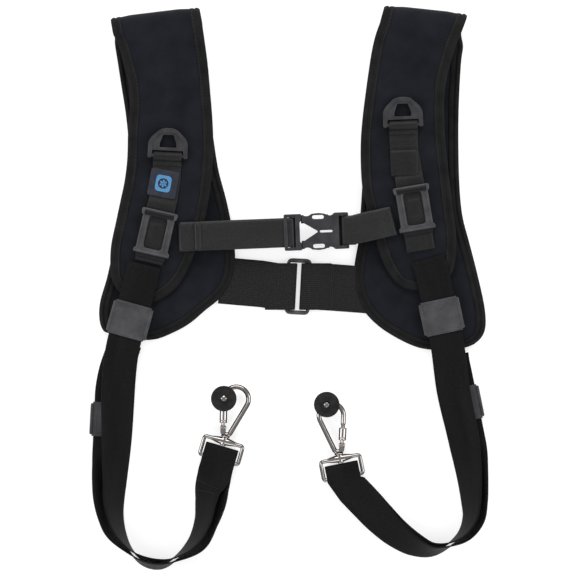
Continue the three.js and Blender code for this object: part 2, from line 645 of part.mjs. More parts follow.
function addMount(data, place) {
  const spot = onTopCircle(data.mountAngle);
  const mount = frame(place, spot.x, spot.y, 0, data.mountAngle - 90);
  add(mount, `${data.name}_mount_bail`, bailGeometry(), gunmetal());
  add(mount, `${data.name}_mount_screw`, screwGeometry(), gunmetal());
  add(mount, `${data.name}_mount_washer`, disc(13.2, 9.1, 12.6, 3.5, 24), rubber());
}

function addStrapEnd(data) {
  const place = frame(harness, data.ring.x, data.ring.y, RING_HEIGHT, data.ring.turn);
  const handed = new THREE.Group();
  handed.scale.x = -data.side;
  place.add(handed);
  addRing(data, handed);
  const foot = frame(handed, 0, RING_LENGTH + FOOT_ABOVE_BARREL, 0);
  addSwivelPin(data, foot);
  addCarabiner(data, foot);
  addMount(data, foot);
}

// ---------------------------------------------------------------- chest strap and buckle
const BUCKLE_BAR = -25.6;            // male half's webbing bar, along the buckle's axis
const BUCKLE_END_BAR = 28.5;        // female half's webbing bar
const BAR_RADIUS = 1.7;
const WRAP = BAR_RADIUS + GAP + 0.1 + PAD_WEB_THICKNESS / 2;

function bar(x, halfLength, radius = BAR_RADIUS) {
  return disc(radius, -halfLength, halfLength, 0, 10).rotateX(Math.PI / 2).translate(x, 0, 0);
}

// Turn of webbing round a bar at x, from above to below; side is where it bulges.
function wrapProfile(x, side) {
  return [90, 54, 18, -18, -54, -90].map((degrees) => {
    const angle = radians(degrees);
    return [x + side * WRAP * Math.cos(angle), WRAP * Math.sin(angle)];
  });
}

// One sprung arm of the male half, rooted at the base and ending in a barbed shoulder.
function prongOutline(s) {
  return [[-14.6, 11], [-14.6, 15.2], [-6, 13.4], [3, 12.3], [8.6, 12.6], [9.2, 17.2],
    [12.4, 17.2], [14.6, 12], [14.2, 8.6], [3, 8.8], [-6, 9.6]].map(([x, y]) => [x, y * s]);
}

function addBuckle() {
  const [x, y, z] = BUCKLE_CENTRE;
  const place = frame(harness, x, y, z, BUCKLE_TILT);
  const passage = (x0, x1) => [box(x0, x1, -15.6, 15.6, BAR_RADIUS, 6),
    box(x0, x1, -15.6, 15.6, -6, -BAR_RADIUS)];
  const ladder = cut(plate(roundedBox(-33, -15, -18.6, 18.6, 2.5), -3.2, 3.2,
    [roundedBox(-30.6, -21.5, -15.6, 15.6, 1, 1)]), box(-17, -14, -10.8, 10.8, -4, 4),
  ...passage(-34, -30));
  add(place, 'buckle_male', join(ladder, bar(BUCKLE_BAR, 16.5)), plastic());
  add(place, 'buckle_prong_upper', plate(prongOutline(1), -2.3, 2.3), plastic());
  add(place, 'buckle_prong_lower', plate(prongOutline(-1), -2.3, 2.3), plastic());

  // The mouth is a deep notch between two horns, which leaves a three-cornered gap.
  const mouth = -14.4;
  const shell = plate([[mouth, 9.6], [mouth, 18.2], [2, 18.6], [20, 18.4], [24, 18.6], [33, 18.6],
    [33, -18.6], [24, -18.6], [20, -18.4], [2, -18.6], [mouth, -18.2], [mouth, -9.6], [0.4, 0]],
  -5, 5);
  const cavity = box(mouth - 1, 15.5, -17.6, 17.6, -2.9, 2.9);
  const windows = box(8.4, 13.6, -20, 20, -2.9, 2.9);
  const eyes = [plate(roundedBox(-4, 8.2, 12.7, 16.9, 2), -6, 6),
    plate(roundedBox(-4, 8.2, -16.9, -12.7, 2), -6, 6)];
  const slit = plate(roundedBox(3.6, 16.4, -1.2, 1.2, 1), -6, 6);
  const waists = [1, -1].flatMap((s) => [
    plate([[-13.5, 19 * s], [-11, 15.7 * s], [-8.4, 15.7 * s], [-5.8, 19 * s]], -6, 6),
    plate([[10.6, 19 * s], [13, 15.7 * s], [15.4, 15.7 * s], [17.6, 19 * s]], -6, 6),
  ]);
  const throat = roundedBox(23, 30.6, -15.7, 15.7, 1, 1);
  const slot = plate(throat, -6, 6);
  const female = join(cut(shell, cavity, windows, ...eyes, ...waists, slit, slot, ...passage(30, 34)),
    bar(BUCKLE_END_BAR, 16.5));
  add(place, 'buckle_female', female, plastic());

  const tail = [[-124, WRAP], [-100, WRAP], [-60, WRAP], ...wrapProfile(BUCKLE_BAR, 1),
    [-35, -WRAP]];
  add(place, 'chest_tail_webbing', webAlongX(tail, PAD_WEB_WIDTH, PAD_WEB_THICKNESS), webbing());
}

function addChestWebbing() {
  const [cx, cy, cz] = BUCKLE_CENTRE;
  const turn = radians(BUCKLE_TILT);
  const at = (x, z) => vec(cx + x * Math.cos(turn), cy + x * Math.sin(turn), z);
  const under = cz - WRAP - PAD_WEB_THICKNESS - GAP;
  const left = [at(-140.5, 19.9), at(-116, 19.9), at(-108, 18.8), at(-98, under + 0.8),
    at(-88, under), at(-50, under)];
  const width = vec(-Math.sin(turn), Math.cos(turn), 0);
  add(harness, 'chest_left_webbing',
    ribbon(left, left.map(() => width), PAD_WEB_WIDTH, PAD_WEB_THICKNESS), webbing());

  const lean = radians(13);
  const slope = vec(Math.cos(lean), Math.sin(lean), 0);
  const across = vec(-Math.sin(lean), Math.cos(lean), 0);
  const bend = at(36, 0);
  const along = (reach, z) => vec(bend.x, bend.y, z).addScaledVector(slope, reach);
  const wrap = wrapProfile(BUCKLE_END_BAR, -1);
  const right = [at(40, cz - WRAP), ...wrap.map(([x, z]) => at(x, cz + z)).reverse(),
    at(36, cz + WRAP), along(16, cz + WRAP + 1), along(26, cz + WRAP + 1.4), along(44, 21.5)];
  const widths = right.map((point, i) => (i < right.length - 3 ? width : across));
  add(harness, 'chest_right_webbing',
    ribbon(right, widths, PAD_WEB_WIDTH, PAD_WEB_THICKNESS), webbing());
}

// ---------------------------------------------------------------- back band
const BAND_RING_HALF_WIDTH = 11;
const BAND_RING_HALF_LENGTH = 27;
const BAND_WRAP = 3.6;
const BAND_LOOP_REACH = 4.5;         // how far each half's loop reaches past its bar
const BAND_RING_TURN = -3;          // degrees

function addBackRing() {
  const [x, y, z] = BAND_RING_CENTRE;
  const place = frame(harness, x, y, z, BAND_RING_TURN);
  const outline = roundedBox(-BAND_RING_HALF_WIDTH, BAND_RING_HALF_WIDTH,
    -BAND_RING_HALF_LENGTH, BAND_RING_HALF_LENGTH, 3.5, 3);
  const path = outline.map(([px, py]) => vec(px, py, 0));
  add(place, 'back_ring', wire(path, 1.8, { endless: true }), plastic());
}

// One half of the band: from its pad over the ring's bar and back beneath itself.
function bandGeometry(side, pad, half, reach) {
  const [cx, cy, cz] = BAND_RING_CENTRE;
  const barX = cx + side * BAND_RING_HALF_WIDTH;
  const profile = [[barX + side * pad.reach, pad.y, pad.z], [barX + side * 26, cy + pad.y / 3, 5.5],
    [barX + side * 10, cy, cz + BAND_WRAP], [barX, cy, cz + BAND_WRAP]];
  for (const degrees of [54, 18, -18, -54]) {
    const angle = radians(degrees);
    profile.push([barX - side * (BAND_LOOP_REACH + BAND_WRAP * Math.cos(angle)), cy,
      cz + BAND_WRAP * Math.sin(angle)]);
  }
  profile.push([barX, cy, cz - BAND_WRAP], [barX + side * reach, cy, cz - BAND_WRAP]);
  const points = profile.map(([x, y, z]) => vec(x, y, z));
  const turn = radians(BAND_RING_TURN);
  const across = vec(-Math.sin(turn), Math.cos(turn), 0);
  return ribbon(points, points.map(() => across), 2 * half, BAND_THICKNESS);
}

function addBackBand(leftPad, rightPad) {
  const left = bandGeometry(-1, { reach: 70, y: 8, z: 3 }, 24, 22);
  const right = bandGeometry(1, { reach: 72, y: -3, z: 3 }, 24, 22);
  add(harness, 'back_band_left', cut(left, leftPad), ribbed());
  add(harness, 'back_band_right', cut(right, rightPad), ribbed());
}

// ---------------------------------------------------------------- label patch
function addLabel(deck) {
  const place = onDeck(deck, { x: -127, y: 107, turn: -11 });
  add(place, 'label_patch', plate(roundedBox(-14.5, 14.5, -14, 14, 2), 2.2, 3.3), label());
}

// ---------------------------------------------------------------- assembly
const deck = deckFrame();
for (const data of [LEFT, RIGHT]) {
  addPad(data);
  addPadWebbing(data, deck);
  addDRing(data, deck);
  addAdjuster(data, deck);
  addStoppers(data);
  add(harness, `${data.name}_camera_strap`, strapGeometry(data), webbing());
  addStrapEnd(data);
}
addLabel(deck);
addBuckle();
addChestWebbing();
addBackRing();
const keepOut = [LEFT, RIGHT].map((data) => padSlab(padRows(data), PAD_THICKNESS + 1.4));
addBackBand(...keepOut);

export default harness;
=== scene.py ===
# Studio view of a dual-shoulder camera harness lying on a pale floor, seen from above.
import json
import math

import bmesh
import bpy
from mathutils import Matrix, Vector, noise
from mathutils.geometry import tessellate_polygon


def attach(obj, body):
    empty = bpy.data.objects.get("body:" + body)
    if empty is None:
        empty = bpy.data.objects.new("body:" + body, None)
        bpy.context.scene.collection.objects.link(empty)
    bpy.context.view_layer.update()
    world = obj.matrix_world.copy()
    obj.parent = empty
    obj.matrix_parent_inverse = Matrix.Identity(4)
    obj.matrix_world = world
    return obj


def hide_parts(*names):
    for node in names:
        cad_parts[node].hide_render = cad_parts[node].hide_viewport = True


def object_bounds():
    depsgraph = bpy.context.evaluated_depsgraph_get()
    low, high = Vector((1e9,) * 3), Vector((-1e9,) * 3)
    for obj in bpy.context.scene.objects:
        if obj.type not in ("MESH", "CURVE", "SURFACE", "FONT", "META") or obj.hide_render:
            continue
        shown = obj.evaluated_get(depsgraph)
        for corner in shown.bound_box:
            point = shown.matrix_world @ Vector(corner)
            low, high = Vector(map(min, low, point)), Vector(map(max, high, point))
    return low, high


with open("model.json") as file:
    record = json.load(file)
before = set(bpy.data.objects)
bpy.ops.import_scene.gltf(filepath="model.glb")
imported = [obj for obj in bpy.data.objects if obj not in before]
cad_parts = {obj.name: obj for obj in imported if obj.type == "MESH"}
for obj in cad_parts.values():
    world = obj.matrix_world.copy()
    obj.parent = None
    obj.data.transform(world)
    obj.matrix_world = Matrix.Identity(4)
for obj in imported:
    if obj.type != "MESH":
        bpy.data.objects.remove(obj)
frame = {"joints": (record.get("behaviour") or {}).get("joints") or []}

CAD_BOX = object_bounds()
MM = 0.001
SHIFT = Vector((-0.45, 1.3, 0))     # mm, middle of the outline onto the origin
UP = Vector((0, 0, 1))


# ---------------------------------------------------------------- materials
def fill(node, **inputs):
    """Set a node's inputs by name, with _ for a space."""
    for name, value in inputs.items():
        node.inputs[name.replace("_", " ")].default_value = value
    return node


def tinted(color, tint):
    return tuple(c * tint for c in color)


class Look:
    """A material in the making, with short calls for the nodes that it needs."""

    def __init__(self, name, color, roughness, specular=0.5, metallic=0.0, sheen=0.0):
        self.material = bpy.data.materials.new(name)
        self.material.use_nodes = True
        self.tree = self.material.node_tree
        self.shader = fill(self.tree.nodes["Principled BSDF"], Base_Color=(*color, 1),
                           Roughness=roughness, Metallic=metallic, Specular_IOR_Level=specular)
        if sheen:
            fill(self.shader, Sheen_Weight=sheen, Sheen_Roughness=0.4)

    def link(self, source, target):
        self.tree.links.new(source, target)

    def node(self, kind, vector=None, **inputs):
        made = fill(self.tree.nodes.new("ShaderNode" + kind), **inputs)
        if vector is not None:
            self.link(vector, made.inputs["Vector"])
        return made

    def place(self, output="Object"):
        return self.node("TexCoord").outputs[output]

    def cloth(self):
        """The piece's own cloth coordinates, in metres across and along."""
        layer = self.node("UVMap")
        layer.uv_map = "cloth"
        return layer.outputs["UV"]

    def mapped(self, vector, **inputs):
        return self.node("Mapping", vector, **inputs).outputs["Vector"]

    def noise(self, vector, scale, detail=2.0):
        return self.node("TexNoise", vector, Scale=scale, Detail=detail).outputs["Fac"]

    def ribs(self, vector, axis, per_metre):
        """Even ridges across one axis of the cloth coordinates."""
        wave = self.node("TexWave", vector, Scale=per_metre, Distortion=0.0)
        wave.wave_type = "BANDS"
        wave.bands_direction = axis
        wave.wave_profile = "SIN"
        return wave.outputs["Fac"]

    def maths(self, operation, *factors):
        made = self.node("Math")
        made.operation = operation
        for factor, socket in zip(factors, made.inputs):
            if isinstance(factor, float):
                socket.default_value = factor
            else:
                self.link(factor, socket)
        return made.outputs[0]

    def paint(self, factor, dark, light, low=0.3, high=0.7):
        """Base colour from dark to light as the factor goes from low to high."""
        ramp = self.node("ValToRGB")
        for end, position, color in ((0, low, dark), (1, high, light)):
            ramp.color_ramp.elements[end].position = position
            ramp.color_ramp.elements[end].color = (*color, 1)
        self.link(factor, ramp.inputs["Fac"])
        self.link(ramp.outputs["Color"], self.shader.inputs["Base Color"])

    def roughen(self, factor, low, high):
        """Roughness from low to high with the factor."""
        spread = self.node("MapRange", To_Min=low, To_Max=high)
        self.link(factor, spread.inputs["Value"])
        self.link(spread.outputs["Result"], self.shader.inputs["Roughness"])

    def bump(self, height, strength, distance, under=None):
        """Relief of a depth in metres, on top of another relief if one is given."""
        made = self.node("Bump", Strength=strength, Distance=distance)
        self.link(height, made.inputs["Height"])
        if under is not None:
            self.link(under, made.inputs["Normal"])
        self.link(made.outputs["Normal"], self.shader.inputs["Normal"])
        return made.outputs["Normal"]


def jersey_material():
    """Knitted jersey laminated on neoprene: fine knit, soft mottling, slightly blue black."""
    look = Look("neoprene_jersey", (0.006, 0.0068, 0.0095), 0.92, 0.1, sheen=0.05)
    knit = look.noise(look.place(), 2600, 1.0)
    broad = look.noise(look.place(), 45, 4.0)
    look.paint(look.maths("MULTIPLY", knit, broad), (0.0042, 0.0048, 0.0068),
               (0.0105, 0.0118, 0.016), 0.12, 0.42)
    look.bump(knit, 0.35, 0.0003, look.bump(broad, 0.25, 0.0012))
    return look.material


def tape_material():
    """Woven binding tape: fine cross ribs and soft wrinkles."""
    look = Look("binding_tape", (0.0065, 0.0065, 0.0072), 0.85, 0.1, sheen=0.03)
    grain = look.ribs(look.cloth(), "Y", 330)
    threads = look.noise(look.cloth(), 1800, 1.0)
    wrinkles = look.noise(look.place(), 70, 3.0)
    look.paint(look.maths("MULTIPLY", threads, wrinkles), (0.0045, 0.0045, 0.005),
               (0.012, 0.012, 0.0128), 0.12, 0.42)
    look.bump(look.maths("ADD", grain, threads), 0.3, 0.00025, look.bump(wrinkles, 0.5, 0.0018))
    return look.material


def webbing_material(name, rib_scale, gloss, tint, specular):
    """Smooth nylon webbing: warp lines along it, a faint twill across, soft streaks of painted
    sheen in the colour, with a faint relief.
    """
    look = Look(name, (0.008, 0.008, 0.0084), gloss, specular)
    cloth = look.cloth()
    warp = look.maths("MULTIPLY", look.ribs(cloth, "X", rib_scale), 0.6)
    slanted = look.mapped(cloth, Rotation=(0, 0, math.radians(24)))
    weave = look.maths("ADD", warp, look.ribs(slanted, "Y", rib_scale * 0.8))
    slubs = look.noise(cloth, 420, 3.0)
    sheen_and_relief_streaks = look.noise(look.mapped(cloth, Scale=(55, 9, 1)), 1.0)
    # Painted sheen: broad streaks along the webbing lighten and darken its base colour.
    look.paint(look.maths("MULTIPLY", look.maths("MULTIPLY", weave, slubs), sheen_and_relief_streaks),
               tinted((0.0045, 0.0045, 0.0049), tint), tinted((0.0175, 0.0175, 0.0184), tint),
               0.08, 0.5)
    look.roughen(slubs, gloss - 0.06, gloss + 0.1)
    look.bump(weave, 0.35, 0.00022, look.bump(sheen_and_relief_streaks, 0.5, 0.0012))
    return look.material


def ribbed_material():
    """Coarse webbing of the back band: strong cross ribs and a plain weave."""
    look = Look("band_webbing", (0.009, 0.009, 0.0095), 0.66, 0.09)
    cloth = look.cloth()
    crossing = look.maths("MULTIPLY", look.ribs(cloth, "X", 155), look.ribs(cloth, "Y", 190))
    weave = look.maths("ADD", crossing, look.noise(cloth, 500))
    look.paint(weave, (0.004, 0.004, 0.0045), (0.0175, 0.0175, 0.0185), 0.35, 1.0)
    look.bump(weave, 0.7, 0.0005)
    return look.material


def plastic_material(name, tint):
    """Moulded acetal: fine spark grain, faint flow marks."""
    look = Look(name, (0.045, 0.046, 0.049), 0.42, 0.28 * tint)
    grain = look.noise(look.place(), 3200)
    look.paint(look.noise(look.place(), 90, 3.0), tinted((0.028, 0.028, 0.031), tint),
               tinted((0.052, 0.052, 0.057), tint))
    look.roughen(grain, 0.34, 0.52)
    look.bump(grain, 0.25, 0.00012)
    return look.material


def gunmetal_material():
    """Polished dark nickel plating, with a painted highlight where a piece faces its own z, up or
    down, and painted shade on its sides.
    """
    look = Look("gunmetal", (0.5, 0.48, 0.47), 0.14, metallic=1.0)
    fill(look.shader, Specular_Tint=(0.12, 0.11, 0.11, 1))
    spots = look.noise(look.place(), 160, 4.0)
    # Painted highlight and shade: the base colour is bright where the surface faces up or down in
    # the piece's own frame and dark on its sides, with random spots mixed in.
    facing = look.node("SeparateXYZ", look.place("Normal")).outputs["Z"]
    level = look.maths("ADD", look.maths("ABSOLUTE", facing), look.maths("MULTIPLY", spots, 0.25))
    look.paint(level, (0.075, 0.066, 0.063), (0.32, 0.3, 0.292), 0.8, 1.14)
    look.roughen(spots, 0.06, 0.2)
    look.bump(look.noise(look.place(), 900, 3.0), 0.06, 0.0001)
    return look.material


def rubber_material():
    """Moulded rubber: matte, fine stipple, a touch of dust."""
    look = Look("mount_rubber", (0.010, 0.010, 0.0105), 0.75, 0.15)
    look.paint(look.noise(look.place(), 220, 3.0), (0.008, 0.008, 0.0085), (0.019, 0.019, 0.02),
               0.35, 0.75)
    look.bump(look.noise(look.place(), 1500), 0.4, 0.0002)
    return look.material


def thread_material():
    """Twisted black sewing thread."""
    color = (0.016, 0.016, 0.018)
    look = Look("black_thread", color, 0.6, 0.4)
    twist = look.noise(look.place(), 2500, 1.0)
    look.paint(twist, tinted(color, 0.6), tinted(color, 1.4))
    look.bump(twist, 0.4, 0.0001)
    return look.material


def label_material():
    """Woven satin patch, bluish black, with fine rows of thread."""
    look = Look("woven_label", (0.014, 0.016, 0.022), 0.6, 0.22)
    threads = look.noise(look.place(), 2400, 1.0)
    look.paint(look.maths("MULTIPLY", threads, look.noise(look.place(), 130, 3.0)),
               (0.009, 0.0105, 0.0165), (0.025, 0.028, 0.043), 0.12, 0.42)
    look.bump(threads, 0.4, 0.00025)
    return look.material


def emblem_material():
    """Raised blue embroidery thread."""
    look = Look("emblem_thread", (0.03, 0.16, 0.42), 0.5)
    threads = look.noise(look.place(), 1900, 1.0)
    look.paint(threads, (0.02, 0.10, 0.22), (0.07, 0.25, 0.46))
    look.bump(threads, 0.6, 0.0003)
    return look.material


JERSEY = jersey_material()
TAPE = tape_material()
WEBBING = webbing_material("strap_webbing", 420, 0.55, 0.62, 0.06)
CHEST_WEBBING = webbing_material("chest_webbing", 420, 0.34, 1.3, 0.24)
PAD_WEBBING = webbing_material("pad_webbing", 360, 0.42, 1.0, 0.17)
RIBBED = ribbed_material()
PLASTIC = plastic_material("moulded_plastic", 1.0)
DARK_PLASTIC = plastic_material("moulded_plastic_dark", 0.68)
METAL = gunmetal_material()
RUBBER = rubber_material()
THREAD = thread_material()


# ---------------------------------------------------------------- camera, light, floor
VIEW_WIDTH = 0.5875                 # metres across the picture at the harness's height
CAMERA_HEIGHT, HARNESS_HEIGHT = 3.0, 0.02
SENSOR_WIDTH = 36
WORLD_LIGHT = 0.5
SOFTBOXES = {"softbox_back": ((0.1, 1.7, 1.35), (2.0, 1.0), 33),
             "softbox_left": ((-1.75, 0.1, 1.1), (1.0, 2.0), 23),
             "softbox_right": ((1.75, -0.1, 1.1), (1.0, 2.0), 20),
             "softbox_front": ((-0.1, -1.8, 1.2), (2.0, 1.0), 16)}
FLOOR_REACH, FLOOR_GAP = 3.0, 0.0002


def new_object(name, data):
    made = bpy.data.objects.new(name, data)
    bpy.context.scene.collection.objects.link(made)
    return made


def add_camera():
    data = bpy.data.cameras.new("camera")
    data.sensor_width = SENSOR_WIDTH
    data.lens = SENSOR_WIDTH * (CAMERA_HEIGHT - HARNESS_HEIGHT) / VIEW_WIDTH
    data.clip_end = 20
    camera = new_object("camera", data)
    camera.location = (SHIFT.x * MM, SHIFT.y * MM, CAMERA_HEIGHT)
    bpy.context.scene.camera = camera


def add_area_light(name, place, size, power):
    """A softbox that faces the origin."""
    data = bpy.data.lights.new(name, "AREA")
    data.shape = "RECTANGLE"
    data.size, data.size_y = size
    data.energy = power
    light = new_object(name, data)
    light.location = place
    light.rotation_euler = (-Vector(place)).to_track_quat("-Z", "Y").to_euler()


def add_floor():
    """White paper that gives off a little light of its own."""
    mesh = bpy.data.meshes.new("floor")
    corners = [(x * FLOOR_REACH, y * FLOOR_REACH, 0)
               for x, y in ((-1, -1), (1, -1), (1, 1), (-1, 1))]
    mesh.from_pydata(corners, [], [(0, 1, 2, 3)])
    floor = new_object("floor", mesh)
    floor.location.z = CAD_BOX[0][2] - FLOOR_GAP
    look = Look("floor_paper", (0.5, 0.5, 0.5), 0.9, 0.1)
    fill(look.shader, Emission_Color=(1, 1, 1, 1), Emission_Strength=0.6)
    mesh.materials.append(look.material)


def add_stage():
    world = bpy.data.worlds.new("studio")
    world.use_nodes = True
    fill(world.node_tree.nodes["Background"], Color=(1, 1, 1, 1), Strength=WORLD_LIGHT)
    bpy.context.scene.world = world
    for name, (place, size, power) in SOFTBOXES.items():
        add_area_light(name, place, size, power)
    add_floor()
    bpy.context.scene.view_settings.view_transform = "Standard"


add_camera()
add_stage()


# ---------------------------------------------------------------- mesh building
def between(here, there, count):
    """Quads between two rings of corners that start at two indices."""
    return [[here + k, here + (k + 1) % count, there + (k + 1) % count, there + k]
            for k in range(count)]


def sleeve(rings, endless=False):
    """A shell through rings of corners: capped at its ends, or endless."""
    count, total = len(rings[0]), len(rings)
    faces = []
    for s in range(total if endless else total - 1):
        faces += between(s * count, (s + 1) % total * count, count)
    if not endless:
        faces += [list(range(count))[::-1], list(range((total - 1) * count, total * count))]
    return [point for ring in rings for point in ring], faces


def ring_of(middle, side, up, radius, sides, flat=1.0):
    turns = [2 * math.pi * k / sides for k in range(sides)]
    return [middle + side * (radius * math.cos(turn)) + up * (radius * flat * math.sin(turn))
            for turn in turns]


class Shape:
    """Points in mm and faces, gathered from closed shells that are drawn in one frame."""

    def __init__(self, place=Matrix()):
        self.place = place
        self.points = []
        self.faces = []
        self.cloth = []

    def add(self, shell, moved=Matrix()):
        points, faces = shell
        matrix = self.place @ moved
        order = -1 if matrix.determinant() < 0 else 1
        start = len(self.points)
        self.points += [matrix @ p for p in points]
        self.faces += [[start + i for i in face][::order] for face in faces]

    def block(self, x0, x1, y0, y1, radius, z0, z1, bevel, steps=3):
        """A plate with round corners and edges."""
        self.add(prism(rounded(x0, x1, y0, y1, radius), z0, z1, bevel=bevel, steps=steps))

    def add_cloth(self, sections, cloth_rows, endless=False):
        """A sleeve with cloth places; cloth_rows gives every corner's, with one corner more
        than a section has, and one row more than there are sections if it is endless."""
        count = len(sections[0])
        self.add(sleeve(sections, endless))
        for here, there in zip(cloth_rows, cloth_rows[1:]):
            self.cloth += [[here[c], here[c + 1], there[c + 1], there[c]] for c in range(count)]
        if not endless:
            self.cloth += [cloth_rows[0][:count][::-1], cloth_rows[-1][:count]]


SHARP_DEGREES = 50


def build(name, shape, material, body, nodes=(), weighted=False):
    mesh = bpy.data.meshes.new(name)
    mesh.from_pydata([p * MM for p in shape.points], [], shape.faces)
    if shape.cloth:
        layer = mesh.uv_layers.new(name="cloth")
        places = [place for face in shape.cloth for place in face]
        for loop, (u, v) in zip(layer.data, places):
            loop.uv = (u * MM, v * MM)
    mesh.polygons.foreach_set("use_smooth", [True] * len(mesh.polygons))
    mesh.materials.append(material)
    made = new_object(name, mesh)
    fix_facing(mesh)
    if weighted:
        mesh.set_sharp_from_angle(angle=math.radians(SHARP_DEGREES))
        modifier = made.modifiers.new("weighted", "WEIGHTED_NORMAL")
        modifier.keep_sharp = True
    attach(made, body)
    if nodes:
        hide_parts(*nodes)
    return made


def fix_facing(mesh):
    work = bmesh.new()
    work.from_mesh(mesh)
    bmesh.ops.recalc_face_normals(work, faces=work.faces)
    work.to_mesh(mesh)
    work.free()


def build_plastic(name, shape, body, material=PLASTIC, node=None):
    build(name, shape, material, body, [node or body], weighted=True)


def build_metal(name, shape, body, *nodes):
    build(name, shape, METAL, body, nodes, weighted=True)


def build_seam(name, shape, body="root"):
    build(name, shape, THREAD, body, ())


def flat_points(points):
    return [Vector((p[0], p[1])) for p in points]


def offset_outline(outline, amount):
    """The outline drawn inward by an amount; a counterclockwise outline shrinks."""
    moved = []
    for i, point in enumerate(outline):
        before = (point - outline[i - 1]).normalized()
        after = (outline[(i + 1) % len(outline)] - point).normalized()
        first = Vector((-before.y, before.x))
        second = Vector((-after.y, after.x))
        moved.append(point + (first + second) * amount / max(0.4, 1 + first.dot(second)))
    return moved


def is_counterclockwise(outline):
    return sum(a.x * b.y - b.x * a.y for a, b in zip(outline, outline[1:] + outline[:1])) > 0


def prism(outline, z0, z1, holes=(), bevel=0.5, steps=3):
    """A plate with round edges between two heights."""
    layers = []
    for i in range(steps + 1):
        angle = math.pi / 2 * i / steps
        layers.append((bevel * (1 - math.sin(angle)), z0 + bevel * (1 - math.cos(angle))))
    layers += [(inset, z0 + z1 - z) for inset, z in reversed(layers)]
    points, faces, rims = [], [], [[], []]
    for k, loop in enumerate([outline, *holes]):
        loop = flat_points(loop)
        if is_counterclockwise(loop) != (k == 0):
            loop.reverse()
        count = len(loop)
        rows = []
        for inset, z in layers:
            rows.append(len(points))
            points += [Vector((p.x, p.y, z)) for p in offset_outline(loop, inset)]
        for low, high in zip(rows, rows[1:]):
            faces += between(low, high, count)
        rims[0].append(list(range(rows[0], rows[0] + count)))
        rims[1].append(list(range(rows[-1], rows[-1] + count)))
    for rim in rims:
        flat = [i for ring in rim for i in ring]
        rings = [[Vector((points[i].x, points[i].y, 0)) for i in ring] for ring in rim]
        faces += [[flat[i] for i in triangle] for triangle in tessellate_polygon(rings)]
    return points, faces


def rounded(x0, x1, y0, y1, radius, steps=6):
    points = []
    corners = [(x1 - radius, y1 - radius, 0), (x0 + radius, y1 - radius, 90),
               (x0 + radius, y0 + radius, 180), (x1 - radius, y0 + radius, 270)]
    for x, y, start in corners:
        for i in range(steps + 1):
            angle = math.radians(start + 90 * i / steps)
            points.append((x + radius * math.cos(angle), y + radius * math.sin(angle)))
    return points


def circle(radius, count):
    turns = [2 * math.pi * k / count for k in range(count)]
    return [(radius * math.cos(turn), radius * math.sin(turn)) for turn in turns]


def mirrored(half):
    """An outline from its right half, from the bottom up."""
    return half + [(-x, y) for x, y in reversed(half)]


def corner_arc(before, corner, after, radius, steps):
    """Points that round a corner off, short of the middle of its sides."""
    reach = min(radius, 0.45 * (corner - before).length, 0.45 * (after - corner).length)
    start = corner + (before - corner).normalized() * reach
    end = corner + (after - corner).normalized() * reach
    return [start * (1 - t) ** 2 + corner * 2 * t * (1 - t) + end * t * t
            for t in (k / steps for k in range(steps + 1))]


def soften(outline, radius, steps=5):
    """The same outline with every corner rounded by about a radius."""
    outline = flat_points(outline)
    points = []
    for i, corner in enumerate(outline):
        after = outline[(i + 1) % len(outline)]
        points += corner_arc(outline[i - 1], corner, after, radius, steps)
    return points


def soft_profile(profile, radius, steps=4):
    """A turned profile with its corners rounded; its first and last points stay."""
    corners = flat_points(profile)
    points = [corners[0]]
    for before, corner, after in zip(corners, corners[1:], corners[2:]):
        points += corner_arc(before, corner, after, radius, steps)
    points.append(corners[-1])
    return [(p.x, p.y) for p in points]


def tube(path, radius, sides, endless=False, flat=1.0):
    """A round rod along a path that stays level; radius may be a list."""
    rings = []
    count = len(path)
    for i, point in enumerate(path):
        before = path[i - 1] if endless or i else path[0]
        after = path[(i + 1) % count] if endless or i < count - 1 else path[-1]
        side = UP.cross(after - before)
        side = side.normalized() if side.length > 1e-6 else Vector((1, 0, 0))
        top = (after - before).normalized().cross(side) * -1
        r = radius[i] if isinstance(radius, list) else radius
        rings.append(ring_of(point, side, top, r, sides, flat))
    return sleeve(rings, endless)


def rod(start, end, radius, round_ends=0.4, sides=24, flat=1.0):
    """A straight bar with softened ends."""
    start, end = Vector(start), Vector(end)
    ahead = (end - start).normalized()
    turns = [math.pi / 2 * k / 3 for k in range(4)]
    radii = [radius - round_ends * (1 - math.sin(turn)) for turn in turns]
    insets = [ahead * round_ends * (1 - math.cos(turn)) for turn in turns]
    path = [start + inset for inset in insets] + [end - inset for inset in reversed(insets)]
    return tube(path, radii + radii[::-1], sides, flat=flat)


def lathe(profile, segments, wave=None):
    """A turned shell about z from [radius, height] points; closed on the axis or in itself."""
    points, faces = [], []
    for k in range(segments):
        angle = 2 * math.pi * k / segments
        for i, (r, z) in enumerate(profile):
            reach = r + (wave(i, angle) if wave else 0)
            points.append(Vector((reach * math.cos(angle), reach * math.sin(angle), z)))
    count = len(profile)
    for k in range(segments):
        here, there = k * count, ((k + 1) % segments) * count
        for i in range(count - 1):
            faces.append([here + i, there + i, there + i + 1, here + i + 1])
    return weld(points, faces)


def weld(points, faces):
    """The shell with points in the same place made one and empty faces dropped."""
    index, kept, where = {}, [], []
    for p in points:
        key = (round(p.x, 4), round(p.y, 4), round(p.z, 4))
        if key not in index:
            index[key] = len(kept)
            kept.append(p)
        where.append(index[key])
    rings = [list(dict.fromkeys(where[i] for i in face)) for face in faces]
    return kept, [ring for ring in rings if len(ring) > 2]


def shifted(x, y, z=0.0, turn=0.0):
    return Matrix.Translation((x, y, z)) @ Matrix.Rotation(math.radians(turn), 4, "Z")


# ---------------------------------------------------------------- curves
def hermite(p1, p2, t1, t2, w):
    """Cubic from p1 to p2 with tangents t1 and t2 at a share w of the way."""
    w2, w3 = w * w, w ** 3
    return (p1 * (2 * w3 - 3 * w2 + 1) + t1 * (w3 - 2 * w2 + w)
            + p2 * (-2 * w3 + 3 * w2) + t2 * (w3 - w2))


